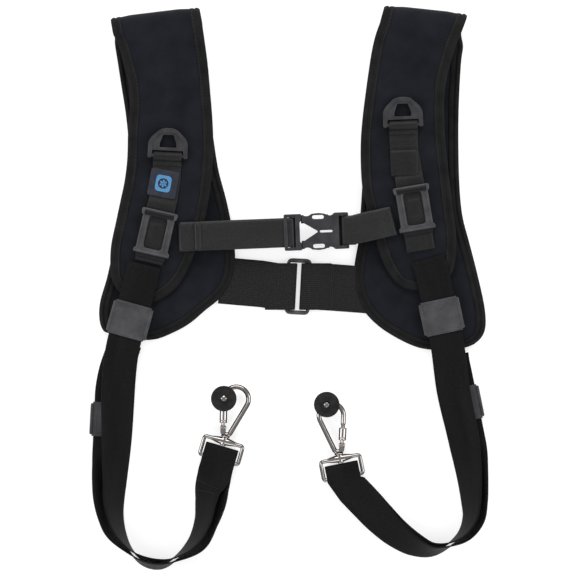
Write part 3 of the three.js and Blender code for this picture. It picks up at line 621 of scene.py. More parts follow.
def span_at(values, t):
    """The four values round a place t from 0 to 1 along all spans, and the share in its span."""
    last = len(values) - 1
    place = min(max(t, 0.0), 1.0) * last
    i = min(int(place), last - 1)
    p1, p2 = values[i], values[i + 1]
    p0 = values[i - 1] if i else p1 * 2 - p2
    p3 = values[i + 2] if i + 2 <= last else p2 * 2 - p1
    return p0, p1, p2, p3, place - i


def centripetal(points, t):
    """Centripetal Catmull-Rom through the points."""
    p0, p1, p2, p3, w = span_at(points, t)
    d0, d1, d2 = ((b - a).length_squared ** 0.25 for a, b in ((p0, p1), (p1, p2), (p2, p3)))
    d1 = d1 if d1 > 1e-4 else 1.0
    d0 = d0 if d0 > 1e-4 else d1
    d2 = d2 if d2 > 1e-4 else d1
    t1 = ((p1 - p0) / d0 - (p2 - p0) / (d0 + d1) + (p2 - p1) / d1) * d1
    t2 = ((p2 - p1) / d1 - (p3 - p1) / (d1 + d2) + (p3 - p2) / d2) * d1
    return hermite(p1, p2, t1, t2, w)


def uniform_spline(values, t):
    """Uniform Catmull-Rom through plain numbers."""
    p0, p1, p2, p3, w = span_at(values, t)
    return hermite(p1, p2, (p2 - p0) / 2, (p3 - p1) / 2, w)


def heading(points, t):
    low, high = max(t - 1e-4, 0), min(t + 1e-4, 1)
    return (centripetal(points, high) - centripetal(points, low)).normalized()


# ---------------------------------------------------------------- the two sides
PAD_THICKNESS = 6
BINDING_WIDTH = 10.5
FOLD_RADIUS = 16
DECK_LOW, DECK_START, DECK_SLOPE = 9.6, 8, 0.1
STRAP_WIDTH, STRAP_THICKNESS = 34.5, 1.5
PAD_WEB_WIDTH, PAD_WEB_THICKNESS = 30, 1.4
RING_HEIGHT = 8.5
LOOP_REACH, LOOP_RADIUS = 10.2, 3.3

# In mm and degrees, before SHIFT. Pad rows run from the fold down: left x, left y, right x,
# right y. Strap runs are given by x, y, height of the low edge and roll, D-rings, adjusters
# and stoppers by x, y and turn. web_end is the webbing's end in the adjuster's frame, and
# mount_angle is where the bail hangs on the hook's top circle.
LEFT = dict(
    name="left", side=-1, fold=(-181, 276, -90, 287),
    front=[(-174, 251, -84, 248), (-168, 231, -81, 224), (-162, 207, -79, 200),
           (-161, 184, -77, 176), (-163, 161, -76, 151), (-164, 131, -77, 125),
           (-167, 108, -79, 102), (-171, 90, -82, 85), (-176, 67, -86, 64), (-181, 44, -93, 43),
           (-182, 27, -99, 26), (-181, 10, -107, 10), (-176, -1, -116, -2),
           (-169, -8, -125, -9), (-160, -14, -136, -15), (-152, -17, -142, -18)],
    back=[(-178, 253, -88, 257), (-175, 233, -85, 233), (-171, 207, -82, 207),
          (-167, 182, -80, 182), (-164, 151, -76, 151), (-166, 120, -71, 120),
          (-171, 90, -63, 90), (-176, 54, -56, 54), (-182, 27, -54, 27), (-187, 6, -58, 5),
          (-192, -10, -70, -11), (-194, -24, -86, -24), (-193, -36, -101, -37),
          (-190, -43, -122, -48), (-187, -47, -145, -57)],
    labelled=True, d_ring=(-122.5, 135, -3), adjuster=(-135, 57, -12.9), web_end=-31,
    front_stopper=(-161.5, -33, -15.5), rear_stopper=(-182, -135, -3),
    front_run=[(-146.5, 24, 15.8, 0), (-150.5, 8, 15, 0), (-154.7, -8, 15, 0),
               (-161.5, -33, 15, 0), (-168.2, -58, 15, 0), (-171, -74, 12.5, 2),
               (-173, -94, 8.5, 8), (-174, -114, 7.2, 14), (-174.5, -135, 6.8, 22),
               (-175, -155, 5.6, 30), (-176, -175, 2, 38), (-177, -196, 0.2, 47),
               (-178, -216, 0.2, 54), (-176.5, -232, 0.2, 64), (-172, -248, 0.2, 74),
               (-160, -267, 0.2, 92), (-146, -277, 0.2, 104), (-131, -280, 0.2, 105),
               (-116, -275, 0.2, 92), (-97, -259, 0.2, 73), (-87, -238, 0.2, 60),
               (-84, -218, 0.6, 50), (-81.5, -204, 3, 36), (-76.8, -193.5, 7.3, 14),
               (-73.5, -184, 10.7, 2)],
    back_run=[(-73.5, -184, 4.3, 0), (-75.2, -193, 3, 6), (-75.5, -204, 1, 25),
              (-75, -218, 0.2, 45), (-80, -238, 0.2, 58), (-89, -262, 0.2, 73),
              (-114.3, -278.2, 0.2, 92), (-131, -284.3, 0.2, 104), (-147.2, -281.3, 0.2, 103),
              (-162.3, -269.8, 0.2, 92), (-180, -250, 0.2, 75), (-186, -232, 0.2, 65),
              (-187.5, -214, 0.2, 52), (-186, -196, 0.3, 36), (-184, -180, 1, 18),
              (-183.3, -165, 2.2, 1), (-182.6, -150, 2.3, 0), (-182, -135, 2.3, 0),
              (-181.3, -120, 2.3, 0), (-180.3, -103, 2.3, 0), (-176.5, -84, 1.6, 0),
              (-171, -68, 1.4, 0), (-167, -56, 2.2, 0)],
    mount_angle=192)
RIGHT = dict(
    name="right", side=1, fold=(98, 289, 183, 280),
    front=[(89, 258, 171, 248), (85, 241, 165, 228), (82, 222, 161, 212), (79, 200, 159, 194),
           (76, 176, 159, 173), (74, 151, 160, 151), (74, 125, 163, 125), (76, 100, 166, 100),
           (82, 76, 169, 76), (88, 55, 172, 55), (93, 37, 172, 37), (99, 22, 170, 21),
           (107, 9, 164, 8), (115, 1, 155, -1), (125, -4, 146, -6)],
    back=[(93, 260, 180, 250), (89, 238, 178, 235), (84, 207, 176, 204), (80, 173, 175, 173),
          (78, 141, 175, 141), (76, 105, 176, 105), (74, 74, 179, 74), (72, 47, 186, 47),
          (68, 24, 192, 24), (68, 0, 198, -1), (76, -21, 202, -21), (90, -37, 203, -37),
          (107, -49, 201, -47), (129, -60, 194, -56), (149, -66, 183, -64)],
    labelled=False, d_ring=(117, 166.5, 2.5), adjuster=(128.5, 82, 9.5), web_end=-44,
    front_stopper=(156.8, -29, 12), rear_stopper=(178, -119.5, 11.5),
    front_run=[(142.5, 30, 16.2, 0), (149, 8, 15, 0), (152, -7, 15, 0), (156.8, -29, 15, 0),
               (161.7, -52, 15, 0), (164.3, -68, 13, 1), (166.3, -84, 10, 4),
               (169, -104, 8, 10), (173, -124, 7.2, 16), (177.5, -144, 6.2, 22),
               (181, -163, 3.6, 30), (184, -182, 0.6, 40), (186, -200, 0.2, 49),
               (187, -217, 0.2, 57), (186, -234, 0.2, 68), (178, -250, 0.2, 82),
               (163, -261, 0.2, 97), (146, -265, 0.2, 113), (128, -259, 0.2, 129),
               (110, -248, 0.2, 144), (94, -234, 0.6, 157), (80, -220, 2.4, 169),
               (66, -206, 4.2, 179)],
    back_run=[(66, -206, 11.1, 180), (80, -221, 8.5, 172), (94, -236.5, 5, 158),
              (111, -252.5, 1, 143), (129, -264, 0.2, 129), (146.8, -268.9, 0.2, 112.5),
              (165, -263.9, 0.2, 96.5), (182.6, -253.4, 0.2, 81), (193, -236, 0.2, 68),
              (194, -217, 0.2, 58), (192.5, -199, 0.2, 48), (190, -182, 0.4, 34),
              (187.3, -167, 1.3, 14), (185.2, -155, 2.3, 0), (181.8, -138.1, 2.3, 0),
              (178, -119.5, 2.3, 0), (174.2, -100.9, 2.3, 0), (171.7, -88.5, 2.1, 0),
              (169.3, -77, 1.8, 0), (168, -68.5, 2.2, 0)],
    mount_angle=79)


def deck_height(y):
    return DECK_LOW + DECK_SLOPE * max(0, y - DECK_START)


def smooth(t):
    t = min(max(t, 0.0), 1.0)
    return t * t * (3 - 2 * t)


# ---------------------------------------------------------------- pads
ROWS_PER_SPAN = 6
OUTLINE_STEP = 3.0
TURN_OVER = 40                      # mm of fold over which a face goes from front to back
CORE_MARGIN, CORE_INSET = 6, 5.5    # mm from the pad's ends and its long edges
BINDING_SEAM, SEAM_PITCH = 8.9, 3.4
STITCH_SINK, STITCH_GAP = 0.12, 0.7


class PadSurface:
    """The pad's middle surface, laid out flat as x across and distance along it."""

    def __init__(self, data):
        rows = [(Vector((lx, ly, deck_height(ly))), Vector((rx, ry, deck_height(ry))))
                for lx, ly, rx, ry in reversed(data["front"])]
        left_x, left_y, right_x, right_y = data["fold"]
        front_row = data["front"][0]
        reach = FOLD_RADIUS + PAD_THICKNESS / 2
        for angle in range(90, -91, -30):
            out = reach - FOLD_RADIUS * math.cos(math.radians(angle))
            z = reach + FOLD_RADIUS * math.sin(math.radians(angle))
            mix = 0.6 * (out / reach - PAD_THICKNESS / 2 / reach)
            rows.append((Vector((left_x + (front_row[0] - left_x) * mix, left_y - out, z)),
                         Vector((right_x + (front_row[2] - right_x) * mix, right_y - out, z))))
        for lx, ly, rx, ry in data["back"]:
            rows.append((Vector((lx, ly, PAD_THICKNESS / 2)), Vector((rx, ry, PAD_THICKNESS / 2))))
        lefts, rights = ([row[k] + SHIFT for row in rows] for k in (0, 1))
        count = ROWS_PER_SPAN * (len(rows) - 1)
        self.rows = []
        distance, before = 0.0, None
        for i in range(count + 1):
            left = centripetal(lefts, i / count)
            right = centripetal(rights, i / count)
            middle = (left + right) / 2
            if before is not None:
                distance += (middle - before).length
            before = middle
            self.rows.append((distance, left, right))
        self.length = distance
        self.fold = self.rows[ROWS_PER_SPAN * (len(data["front"]) + 3)][0]

    def row(self, distance):
        distance = min(max(distance, 0.0), self.length)
        low, high = 0, len(self.rows) - 1
        while high - low > 1:
            middle = (low + high) // 2
            if self.rows[middle][0] <= distance:
                low = middle
            else:
                high = middle
        (d0, l0, r0), (d1, l1, r1) = self.rows[low], self.rows[high]
        mix = (distance - d0) / (d1 - d0)
        return l0.lerp(l1, mix), r0.lerp(r1, mix)

    def at(self, x, distance):
        """Point on the surface and its normal, which faces away from the wearer's body."""
        left, right = self.row(distance)
        share = (x - left.x) / (right.x - left.x)
        l0, r0 = self.row(distance - 2)
        l1, r1 = self.row(distance + 2)
        along = l1.lerp(r1, share) - l0.lerp(r0, share)
        normal = (right - left).cross(along).normalized()
        return left.lerp(right, share), normal

    def facing(self, distance):
        """1 on the front panel and 0 on the back one, which lies face down."""
        return smooth((self.fold - distance) / TURN_OVER + 0.5)

    def outline(self, step):
        """The edge as [x, distance] points, counterclockwise seen with distance upwards."""
        count = int(self.length / step)
        left, right = [], []
        for i in range(count + 1):
            distance = self.length * i / count
            for edge, end in zip((left, right), self.row(distance)):
                edge.append(Vector((end.x, distance)))
        loop = right + left[::-1]
        for _ in range(3):
            loop = [(loop[i - 1] + loop[i] * 2 + loop[(i + 1) % len(loop)]) / 4
                    for i in range(len(loop))]
        return resample(loop, step)


def resample(loop, step):
    """A closed line cut into even steps."""
    lengths = [0.0]
    for a, b in zip(loop, loop[1:] + loop[:1]):
        lengths.append(lengths[-1] + (b - a).length)
    count = int(lengths[-1] / step)
    points, i = [], 0
    for k in range(count):
        target = lengths[-1] * k / count
        while lengths[i + 1] < target:
            i += 1
        mix = (target - lengths[i]) / max(lengths[i + 1] - lengths[i], 1e-9)
        points.append(loop[i].lerp(loop[(i + 1) % len(loop)], mix))
    return points


def inward_normals(loop):
    normals = []
    for i in range(len(loop)):
        along = (loop[(i + 1) % len(loop)] - loop[i - 1]).normalized()
        normals.append(Vector((-along.y, along.x)))
    for _ in range(4):
        normals = [(normals[i - 1] + normals[i] * 2 + normals[(i + 1) % len(loop)]).normalized()
                   for i in range(len(loop))]
    return normals


def nearest_edge(loop, x, distance):
    return math.sqrt(min((p.x - x) ** 2 + (p.y - distance) ** 2 for p in loop))


def crown(reach):
    """Half thickness of the padding at a distance from the edge."""
    return 1.0 + 1.25 * smooth((reach - 7.5) / 3.0) + 1.0 * smooth((reach - 9.5) / 14.0)


def add_pad_core(surface, data, loop):
    """The padding; it reaches under the binding tape."""
    across = 26
    rows = int((surface.length - 2 * CORE_MARGIN) / 3.6)
    sections = []
    for i in range(rows + 1):
        distance = CORE_MARGIN + (surface.length - 2 * CORE_MARGIN) * i / rows
        left, right = surface.row(distance)
        low, high = left.x + CORE_INSET, right.x - CORE_INSET
        front = surface.facing(distance)
        top, bottom = [], []
        for k in range(across + 1):
            share = 0.5 - 0.5 * math.cos(math.pi * k / across)
            x = low + (high - low) * (0.5 * share + 0.5 * k / across)
            point, normal = surface.at(x, distance)
            height = crown(nearest_edge(loop, x, distance))
            ripple = noise.noise(Vector((x * 0.03, distance * 0.03, 7.0 * data["side"])))
            top.append(point + normal * min(height * (1 + 0.07 * ripple), 2.85 + 0.5 * front))
            bottom.append(point - normal * min(height * (1 - 0.07 * ripple), 3.35 - 0.5 * front))
        sections.append(top + bottom[::-1])
    shape = Shape()
    points, faces = sleeve(sections)
    count = len(sections[0])
    faces = faces[:-2]
    for s in (0, rows):
        for k in range(across):
            a, b = s * count + k, (s + 1) * count - 1 - k
            quad = [a, a + 1, b - 1, b]
            faces.append(quad if s else quad[::-1])
    shape.add((points, faces))
    core = build(f"{data['name']}_pad_jersey", shape, JERSEY, "root",
                 [f"{data['name']}_shoulder_pad"])


def tape_section(facing, wobble):
    """The binding's section as [inward, height], over the upper face and back underneath."""
    top = 2.55 + 0.35 * facing
    low = 2.9 - 0.35 * facing
    width = BINDING_WIDTH + 0.25 * wobble
    upper = [(width - 0.1, top - 1.0), (width, top - 0.3), (width - 0.6, top), (8.4, top + 0.04),
             (6.9, top - 0.05), (6.0, top - 0.5), (5.4, top - 0.95), (4.8, top - 0.5),
             (4.0, top + 0.02), (2.8, top - 0.08), (1.6, top - 0.6), (0.7, top - 1.3),
             (0.15, top * 0.3)]
    return upper + [(inset, -height * low / top) for inset, height in upper[::-1]]


def add_binding(surface, data, loop):
    sections, cloth_rows = [], []
    along = 0.0
    for i, (edge, inward) in enumerate(zip(loop, inward_normals(loop))):
        facing = 2 * surface.facing(edge.y) - 1
        wobble = noise.noise(Vector((i * 0.35, data["side"] * 4.0, 0)))
        section, reach = [], []
        for inset, height in tape_section(facing, wobble):
            spot = edge + inward * inset
            point, normal = surface.at(spot.x, spot.y)
            pucker = noise.noise(Vector((i * 0.28, inset * 0.16, data["side"] * 9.0)))
            section.append(point + normal * (height * (0.95 + 0.05 * pucker)))
            reach.append(inset if height > 0 else 2 * BINDING_WIDTH - inset)
        sections.append(section)
        cloth_rows.append([(r, along) for r in reach + [reach[-1] + 4]])
        along += (loop[(i + 1) % len(loop)] - edge).length
    cloth_rows.append([(r, along) for r, _ in cloth_rows[0]])
    shape = Shape()
    shape.add_cloth(sections, cloth_rows, endless=True)
    build(f"{data['name']}_binding_tape", shape, TAPE, "root",
          [f"{data['name']}_pad_binding"])


def stitch(shape, start, end, up, radius):
    """One thread stitch that dips into the cloth at both ends."""
    ahead = end - start
    side = ahead.cross(up).normalized()
    up = side.cross(ahead).normalized()
    rings = []
    for i in range(5):
        t = i / 4
        bow = math.sin(math.pi * t)
        middle = start + ahead * t + up * (radius * 1.1 * bow - STITCH_SINK)
        rings.append(ring_of(middle, side, up, radius * (0.55 + 0.45 * bow), 6))
    shape.add(sleeve(rings))


def add_pad_stitches(surface, data, loop):
    """A seam along the binding's inner edge, on both faces."""
    shape = Shape()
    fine = resample(loop, SEAM_PITCH)
    for i, (edge, inner) in enumerate(zip(fine, inward_normals(fine))):
        ahead = (fine[(i + 1) % len(fine)] - fine[i - 1]).normalized()
        facing = 2 * surface.facing(edge.y) - 1
        for side in (1, -1):
            ends = []
            for reach in (-1.15, 1.15):
                spot = edge + inner * BINDING_SEAM + ahead * reach
                point, normal = surface.at(spot.x, spot.y)
                ends.append(point + normal * side * (2.5 + 0.33 * facing * side))
            stitch(shape, ends[0], ends[1], normal * side, 0.2)
    build_seam(f"{data['name']}_binding_stitches", shape)


def add_pad(data):
    surface = PadSurface(data)
    loop = surface.outline(OUTLINE_STEP)
    add_pad_core(surface, data, loop)
    add_binding(surface, data, loop)
    add_pad_stitches(surface, data, loop)


# ---------------------------------------------------------------- webbing
SELVEDGE = 0.55
POINTS_PER_SPAN = 9
ROW_PITCH = 2.6
SEAM_HALF = 12.5                    # mm, half the width of the seams on 30 mm webbing


def web_section(width, thickness, columns):
    """Section of flat webbing as [across, height] pairs with round selvedges."""
    half, rise = width / 2, thickness / 2
    top = []
    for k in range(columns + 1):
        u = -half + SELVEDGE + (width - 2 * SELVEDGE) * k / columns
        near = min(u + half, half - u)
        top.append((u, rise * (0.93 + 0.07 * smooth(near / 3.0))))
    upper = top + [(half - SELVEDGE * 0.25, rise * 0.62), (half, 0.0)]
    return upper + [(-u, -h) for u, h in upper]


def web_frames(points, widths):
    """A point, a direction across and a face direction for each point of a webbing's path."""
    frames = []
    for i, point in enumerate(points):
        before = points[max(i - 1, 0)]
        after = points[min(i + 1, len(points) - 1)]
        across = widths[i].normalized()
        face = across.cross(after - before).normalized()
        frames.append((point, across, face))
    return frames


def add_web(shape, frames, width, thickness, columns=10, relief=None):
    """Webbing through frames; relief(u, along) lifts the face a little for creases."""
    section = web_section(width, thickness, columns)
    reach = [0.0]
    for (u0, h0), (u1, h1) in zip(section, section[1:] + section[:1]):
        reach.append(reach[-1] + math.hypot(u1 - u0, h1 - h0))
    sections, cloth_rows = [], []
    along, before = 0.0, frames[0][0]
    for point, across, face in frames:
        along += (point - before).length
        before = point
        sections.append([point + across * u + face * (h + (relief(u, along) if relief else 0.0))
                         for u, h in section])
        cloth_rows.append([(r, along) for r in reach])
    shape.add_cloth(sections, cloth_rows)


def straight_web(points, widths, step=3.0, softenings=2):
    """Frames along a line of points in even steps, with its corners softened."""
    fine, fine_widths = [points[0]], [widths[0]]
    for i in range(1, len(points)):
        start, end = points[i - 1], points[i]
        count = max(1, int((end - start).length / step))
        for k in range(1, count + 1):
            fine.append(start.lerp(end, k / count))
            fine_widths.append(widths[i - 1].lerp(widths[i], k / count))
    for _ in range(softenings):
        fine = [fine[0]] + [(fine[i - 1] + fine[i] * 2 + fine[i + 1]) / 4
                            for i in range(1, len(fine) - 1)] + [fine[-1]]
    return web_frames(fine, fine_widths)


def strap_run(stations, sense):
    """Points on the strap's middle line, each with its direction across."""
    middle = []
    for x, y, low, roll in stations:
        rise = STRAP_WIDTH / 2 * abs(math.sin(math.radians(roll))) + STRAP_THICKNESS / 2
        middle.append(Vector((x, y, low + rise)) + SHIFT)
    rolls = [roll for *_, roll in stations]
    count = POINTS_PER_SPAN * (len(stations) - 1)
    run = []
    for i in range(count + 1):
        t = i / count
        ahead = heading(middle, t)
        outward = Vector((ahead.y, -ahead.x, 0)).normalized() * sense
        roll = math.radians(uniform_spline(rolls, t))
        run.append((centripetal(middle, t), outward * math.cos(roll) + UP * math.sin(roll)))
    return run


def joint_frame(name):
    """Where a joint is, in mm, with x along its level axis."""
    joint = next(j for j in frame["joints"] if j["name"] == name)
    axis = Vector(joint["axis"])
    turn = math.atan2(axis.y, axis.x)
    return Matrix.Translation(Vector(joint["pos_m"]) / MM) @ Matrix.Rotation(turn, 4, "Z")


def strap_frames(data):
    """The one webbing from the front of the pad round the ring's bar to the back of it."""
    there = strap_run(data["front_run"], -data["side"])
    back = strap_run(data["back_run"], data["side"])
    ring = joint_frame(f"{data['name']}_ring_hinge")
    ahead = ring.to_3x3() @ Vector((0, 1, 0))
    level = ring.to_3x3() @ Vector((1, 0, 0))
    across = level * math.copysign(1, level.dot(there[-1][1]))
    over = 1 if data["front_run"][-1][2] > RING_HEIGHT else -1
    loop = [(-3, over), (0, over), (3, over), (6, over)]
    for i in range(13):
        angle = math.pi * i / 12
        loop.append((LOOP_REACH + LOOP_RADIUS * math.sin(angle), over * math.cos(angle)))
    loop += [(6, -over), (3, -over), (0, -over), (-3, -over)]
    points = [ring.translation + ahead * reach + UP * (LOOP_RADIUS * rise) for reach, rise in loop]
    run = there + [(point, across) for point in points] + back
    return web_frames([p for p, _ in run], [w for _, w in run]), len(there)


def stitch_row(shape, frame_at, half_width, lift):
    """Stitches straight across the webbing at one of its frames, on the upper face."""
    point, across, face = frame_at
    up = face if face.z > 0 else -face
    for k in range(int(2 * half_width / ROW_PITCH)):
        start = point + across * (ROW_PITCH * k - half_width) + up * lift
        stitch(shape, start, start + across * (ROW_PITCH - STITCH_GAP), up, 0.2)


def add_camera_strap(data):
    name = data["name"]
    frames, ring_start = strap_frames(data)

    def creases(u, along):
        return 0.16 * noise.noise(Vector((u * 0.02, along * 0.012, 3.0 * data["side"])))

    shape = Shape()
    add_web(shape, frames, STRAP_WIDTH, STRAP_THICKNESS, relief=creases)
    build(f"{name}_strap_webbing", shape, WEBBING, "root", [f"{name}_camera_strap"])
    seams = Shape()
    for before_ring in (22, 17):
        stitch_row(seams, frames[ring_start - before_ring], 14, 0.95)
    build_seam(f"{name}_strap_bartack", seams)


DECK = (Matrix.Translation(SHIFT + Vector((0, DECK_START, DECK_LOW)))
        @ Matrix.Rotation(math.atan(DECK_SLOPE), 4, "X"))


def on_deck(x, y, turn):
    """A frame on top of the front panel, with x across it and y towards the fold."""
    along = (y - DECK_START) / math.cos(math.atan(DECK_SLOPE))
    return DECK @ shifted(x, along, PAD_THICKNESS / 2, turn)


def box_stitch(shape, place, x0, x1, y0, y1, z, cross=False, pitch=2.7):
    """A sewn rectangle, with a cross inside it if asked, on a flat piece."""
    corners = [(x0, y0), (x1, y0), (x1, y1), (x0, y1)]
    lines = list(zip(corners, corners[1:] + corners[:1]))
    if cross:
        lines += [(corners[0], corners[2]), (corners[1], corners[3])]
    up = (place.to_3x3() @ UP).normalized()
    for ends in lines:
        start, end = (place @ Vector((x, y, z)) for x, y in ends)
        count = max(1, round((end - start).length / pitch))
        for k in range(count):
            stitch(shape, start.lerp(end, (k + 0.12) / count), start.lerp(end, (k + 0.88) / count),
                   up, 0.18)


D_RING_HEIGHT, D_RING_BAR = 4.2, 1.8
ADJUSTER_WEB_HEIGHT = 3.5
LOOP_THICKNESS = 1.2


def add_pad_webbing(data):
    """Webbing sewn to the pad, under the D-ring and through the adjuster, with its loop."""
    name = data["name"]
    ring, adjuster = on_deck(*data["d_ring"]), on_deck(*data["adjuster"])
    across = ring.to_3x3() @ Vector((1, 0, 0))
    low = 0.45 + PAD_WEB_THICKNESS / 2 + 0.15
    places = [(ring, 7.5, low), (ring, -4, low), (ring, -24, low), (adjuster, 36, low),
              (adjuster, 30, ADJUSTER_WEB_HEIGHT),
              (adjuster, data["web_end"], ADJUSTER_WEB_HEIGHT)]
    points = [place @ Vector((0, y, z)) for place, y, z in places]
    widths = [place.to_3x3() @ Vector((1, 0, 0)) for place, *_ in places]
    window = 30 + sum((b - a).length for a, b in zip(points[:4], points[1:5]))

    def arched(u, along):
        """Sunk in the adjuster's window, and in a crease 24.5 mm from the webbing's start."""
        inside = 1 - smooth((abs(along - window) - 6.5) / 4.5)
        crease = 0.8 * math.exp(-((along - 24.5) / 2.6) ** 2)
        return -inside * (1.3 - 0.0125 * u * u) - crease

    shape = Shape()
    add_web(shape, straight_web(points, widths, 1.5), PAD_WEB_WIDTH - 1, PAD_WEB_THICKNESS,
            relief=arched, columns=14)
    if not data["labelled"]:
        layer = [ring @ Vector((0, y, low + 1.32)) for y in (-25.5, -39, -52)]
        add_web(shape, straight_web(layer, [across] * 3), PAD_WEB_WIDTH - 1.4, LOOP_THICKNESS)
    build(f"{name}_sewn_webbing", shape, PAD_WEBBING, "root", [f"{name}_pad_webbing"])

    over = D_RING_HEIGHT + D_RING_BAR + 0.3 + LOOP_THICKNESS
    profile = [(-10, 2.75), (-6, 3.1), (-3.6, over - 1), (-2, over - 0.25), (0, over),
               (1.8, over - 0.25), (3.1, over - 1), (3.9, 5.0), (4.2, 3.1)]
    points = [ring @ Vector((0, y, z)) for y, z in profile]
    loop = Shape()
    add_web(loop, straight_web(points, [across] * len(points), 1.0), PAD_WEB_WIDTH - 0.6,
            LOOP_THICKNESS)
    build(f"{name}_ring_loop", loop, PAD_WEBBING, "root", [f"{name}_d_ring_loop"])
    seams = Shape()
    box_stitch(seams, ring, -SEAM_HALF, SEAM_HALF, -21.5, -11.5, low + 0.72, cross=True)
    box_stitch(seams, ring, -SEAM_HALF, SEAM_HALF, -9.2, -7.9, 3.55)
    build_seam(f"{name}_ring_bartack", seams)


# ---------------------------------------------------------------- chest strap
BUCKLE_TILT = 2.2
BUCKLE_CENTRE = Vector((29, 57.6, 19))
BUCKLE_BAR, BUCKLE_END_BAR, BAR_RADIUS = -25.6, 28.5, 1.7
WRAP = BAR_RADIUS + 0.4 + PAD_WEB_THICKNESS / 2
RIGHT_STRAP_LEAN = math.radians(13)


def buckle_frame():
    return shifted(*(BUCKLE_CENTRE + SHIFT), BUCKLE_TILT)


def wrap_profile(x, side):
    """Half a turn round a bar, from above it to below."""
    return [(x + side * WRAP * math.cos(math.radians(a)), WRAP * math.sin(math.radians(a)))
            for a in range(90, -91, -15)]


def add_chest_webbing():
    place = buckle_frame()
    across = place.to_3x3() @ Vector((0, 1, 0))

    def on_buckle(profile):
        return [place @ Vector((x, 0, z)) for x, z in profile]

    def sew(points, name, body, node, widths=None):
        shape = Shape()
        frames = straight_web(points, widths or [across] * len(points), 2.5, softenings=0)
        add_web(shape, frames, PAD_WEB_WIDTH, PAD_WEB_THICKNESS)
        build(name, shape, CHEST_WEBBING, body, [node])

    def seam(name, frame_of, x0, x1, z, cross=True, body="root"):
        shape = Shape()
        box_stitch(shape, frame_of, x0, x1, -SEAM_HALF, SEAM_HALF, z, cross)
        build_seam(name, shape, body)

    upper = [(-124, WRAP), (-100, WRAP), (-60, WRAP), *wrap_profile(BUCKLE_BAR, 1), (-35, -WRAP)]
    sew(on_buckle(upper), "chest_upper_layer", "buckle_male", "chest_tail_webbing")
    hem = Shape()
    fold = on_buckle([(x, WRAP + 1.3) for x in (-123.8, -121, -117.6)])
    add_web(hem, straight_web(fold, [across] * 3, 1.0), PAD_WEB_WIDTH - 0.4, 1.3)
    build("chest_tail_fold", hem, CHEST_WEBBING, "buckle_male", ())
    seam("chest_tail_hem", place, -119.6, -118.6, WRAP + 1.95, False, "buckle_male")

    under = -WRAP - PAD_WEB_THICKNESS - 0.3
    lower = [(-140.5, 0.9), (-116, 0.9), (-108, -0.2), (-98, under + 0.8), (-88, under),
             (-50, under)]
    sew(on_buckle(lower), "chest_lower_layer", "root", "chest_left_webbing")
    seam("chest_left_bartack", place, -139, -127, 1.62)

    slope = Vector((math.cos(RIGHT_STRAP_LEAN), math.sin(RIGHT_STRAP_LEAN), 0))
    slant = Vector((-slope.y, slope.x, 0))
    bend = place @ Vector((36, 0, 0))
    points = on_buckle([(40, -WRAP), *reversed(wrap_profile(BUCKLE_END_BAR, -1)), (36, WRAP)])
    widths = [across] * len(points) + [slant] * 3
    for reach, z in ((16, WRAP + 1), (26, WRAP + 1.4), (44, 2.5)):
        points.append(bend + slope * reach + UP * z)
    sew(points, "chest_right_layer", "root", "chest_right_webbing", widths)
    right = Matrix.Translation(bend) @ Matrix.Rotation(RIGHT_STRAP_LEAN, 4, "Z")
    seam("chest_right_bartack", right, 30, 41, WRAP + 2.1)


# ---------------------------------------------------------------- back band
BAND_RING_CENTRE = Vector((10.5, 1.5, 5))
BAND_HALF_RING = (11, 27)
BAND_TURN = -3
BAND_WIDTH, BAND_THICKNESS = 48, 1.8
BAND_WRAP, BAND_LOOP_REACH = 3.6, 4.5
BAND_MIDDLE = BAND_RING_CENTRE + SHIFT
BAND_ACROSS = Vector((-math.sin(math.radians(BAND_TURN)), math.cos(math.radians(BAND_TURN)), 0))


def band_bar(side):
    return BAND_MIDDLE.x + side * BAND_HALF_RING[0]


def add_band_half(side, reach, pad_y, pad_z, name, node):
    bar_x, middle = band_bar(side), BAND_MIDDLE
    profile = [(bar_x + side * reach, SHIFT.y + pad_y, pad_z),
               (bar_x + side * 26, middle.y + pad_y / 3, 5.5),
               (bar_x + side * 10, middle.y, middle.z + BAND_WRAP),
               (bar_x, middle.y, middle.z + BAND_WRAP)]
    for degrees in range(80, -81, -16):
        angle = math.radians(degrees)
        profile.append((bar_x - side * (BAND_LOOP_REACH + BAND_WRAP * math.cos(angle)), middle.y,
                        middle.z + BAND_WRAP * math.sin(angle)))
    profile += [(bar_x, middle.y, middle.z - BAND_WRAP),
                (bar_x + side * 22, middle.y, middle.z - BAND_WRAP)]
    points = [Vector(p) for p in profile]
    shape = Shape()
    frames = straight_web(points, [BAND_ACROSS] * len(points), 2.5, softenings=0)
    add_web(shape, frames, BAND_WIDTH, BAND_THICKNESS, columns=16)
    build(name, shape, RIBBED, "root", [node])


def add_back_band():
    add_band_half(-1, 70, 8, 3, "band_left_half", "back_band_left")
    add_band_half(1, 72, -3, 3, "band_right_half", "back_band_right")
    seams = Shape()
    for reach in (22.5, 24.3):
        start = Vector((band_bar(1) + reach, BAND_MIDDLE.y - 0.8, 0)) - BAND_ACROSS * 21
        for k in range(16):
            low = start + BAND_ACROSS * (2.64 * k)
            low.z = 7.35 + 0.9 * (26 - reach) / 16
            stitch(seams, low, low + BAND_ACROSS * 2.0, UP, 0.22)
    build_seam("band_end_stitches", seams)


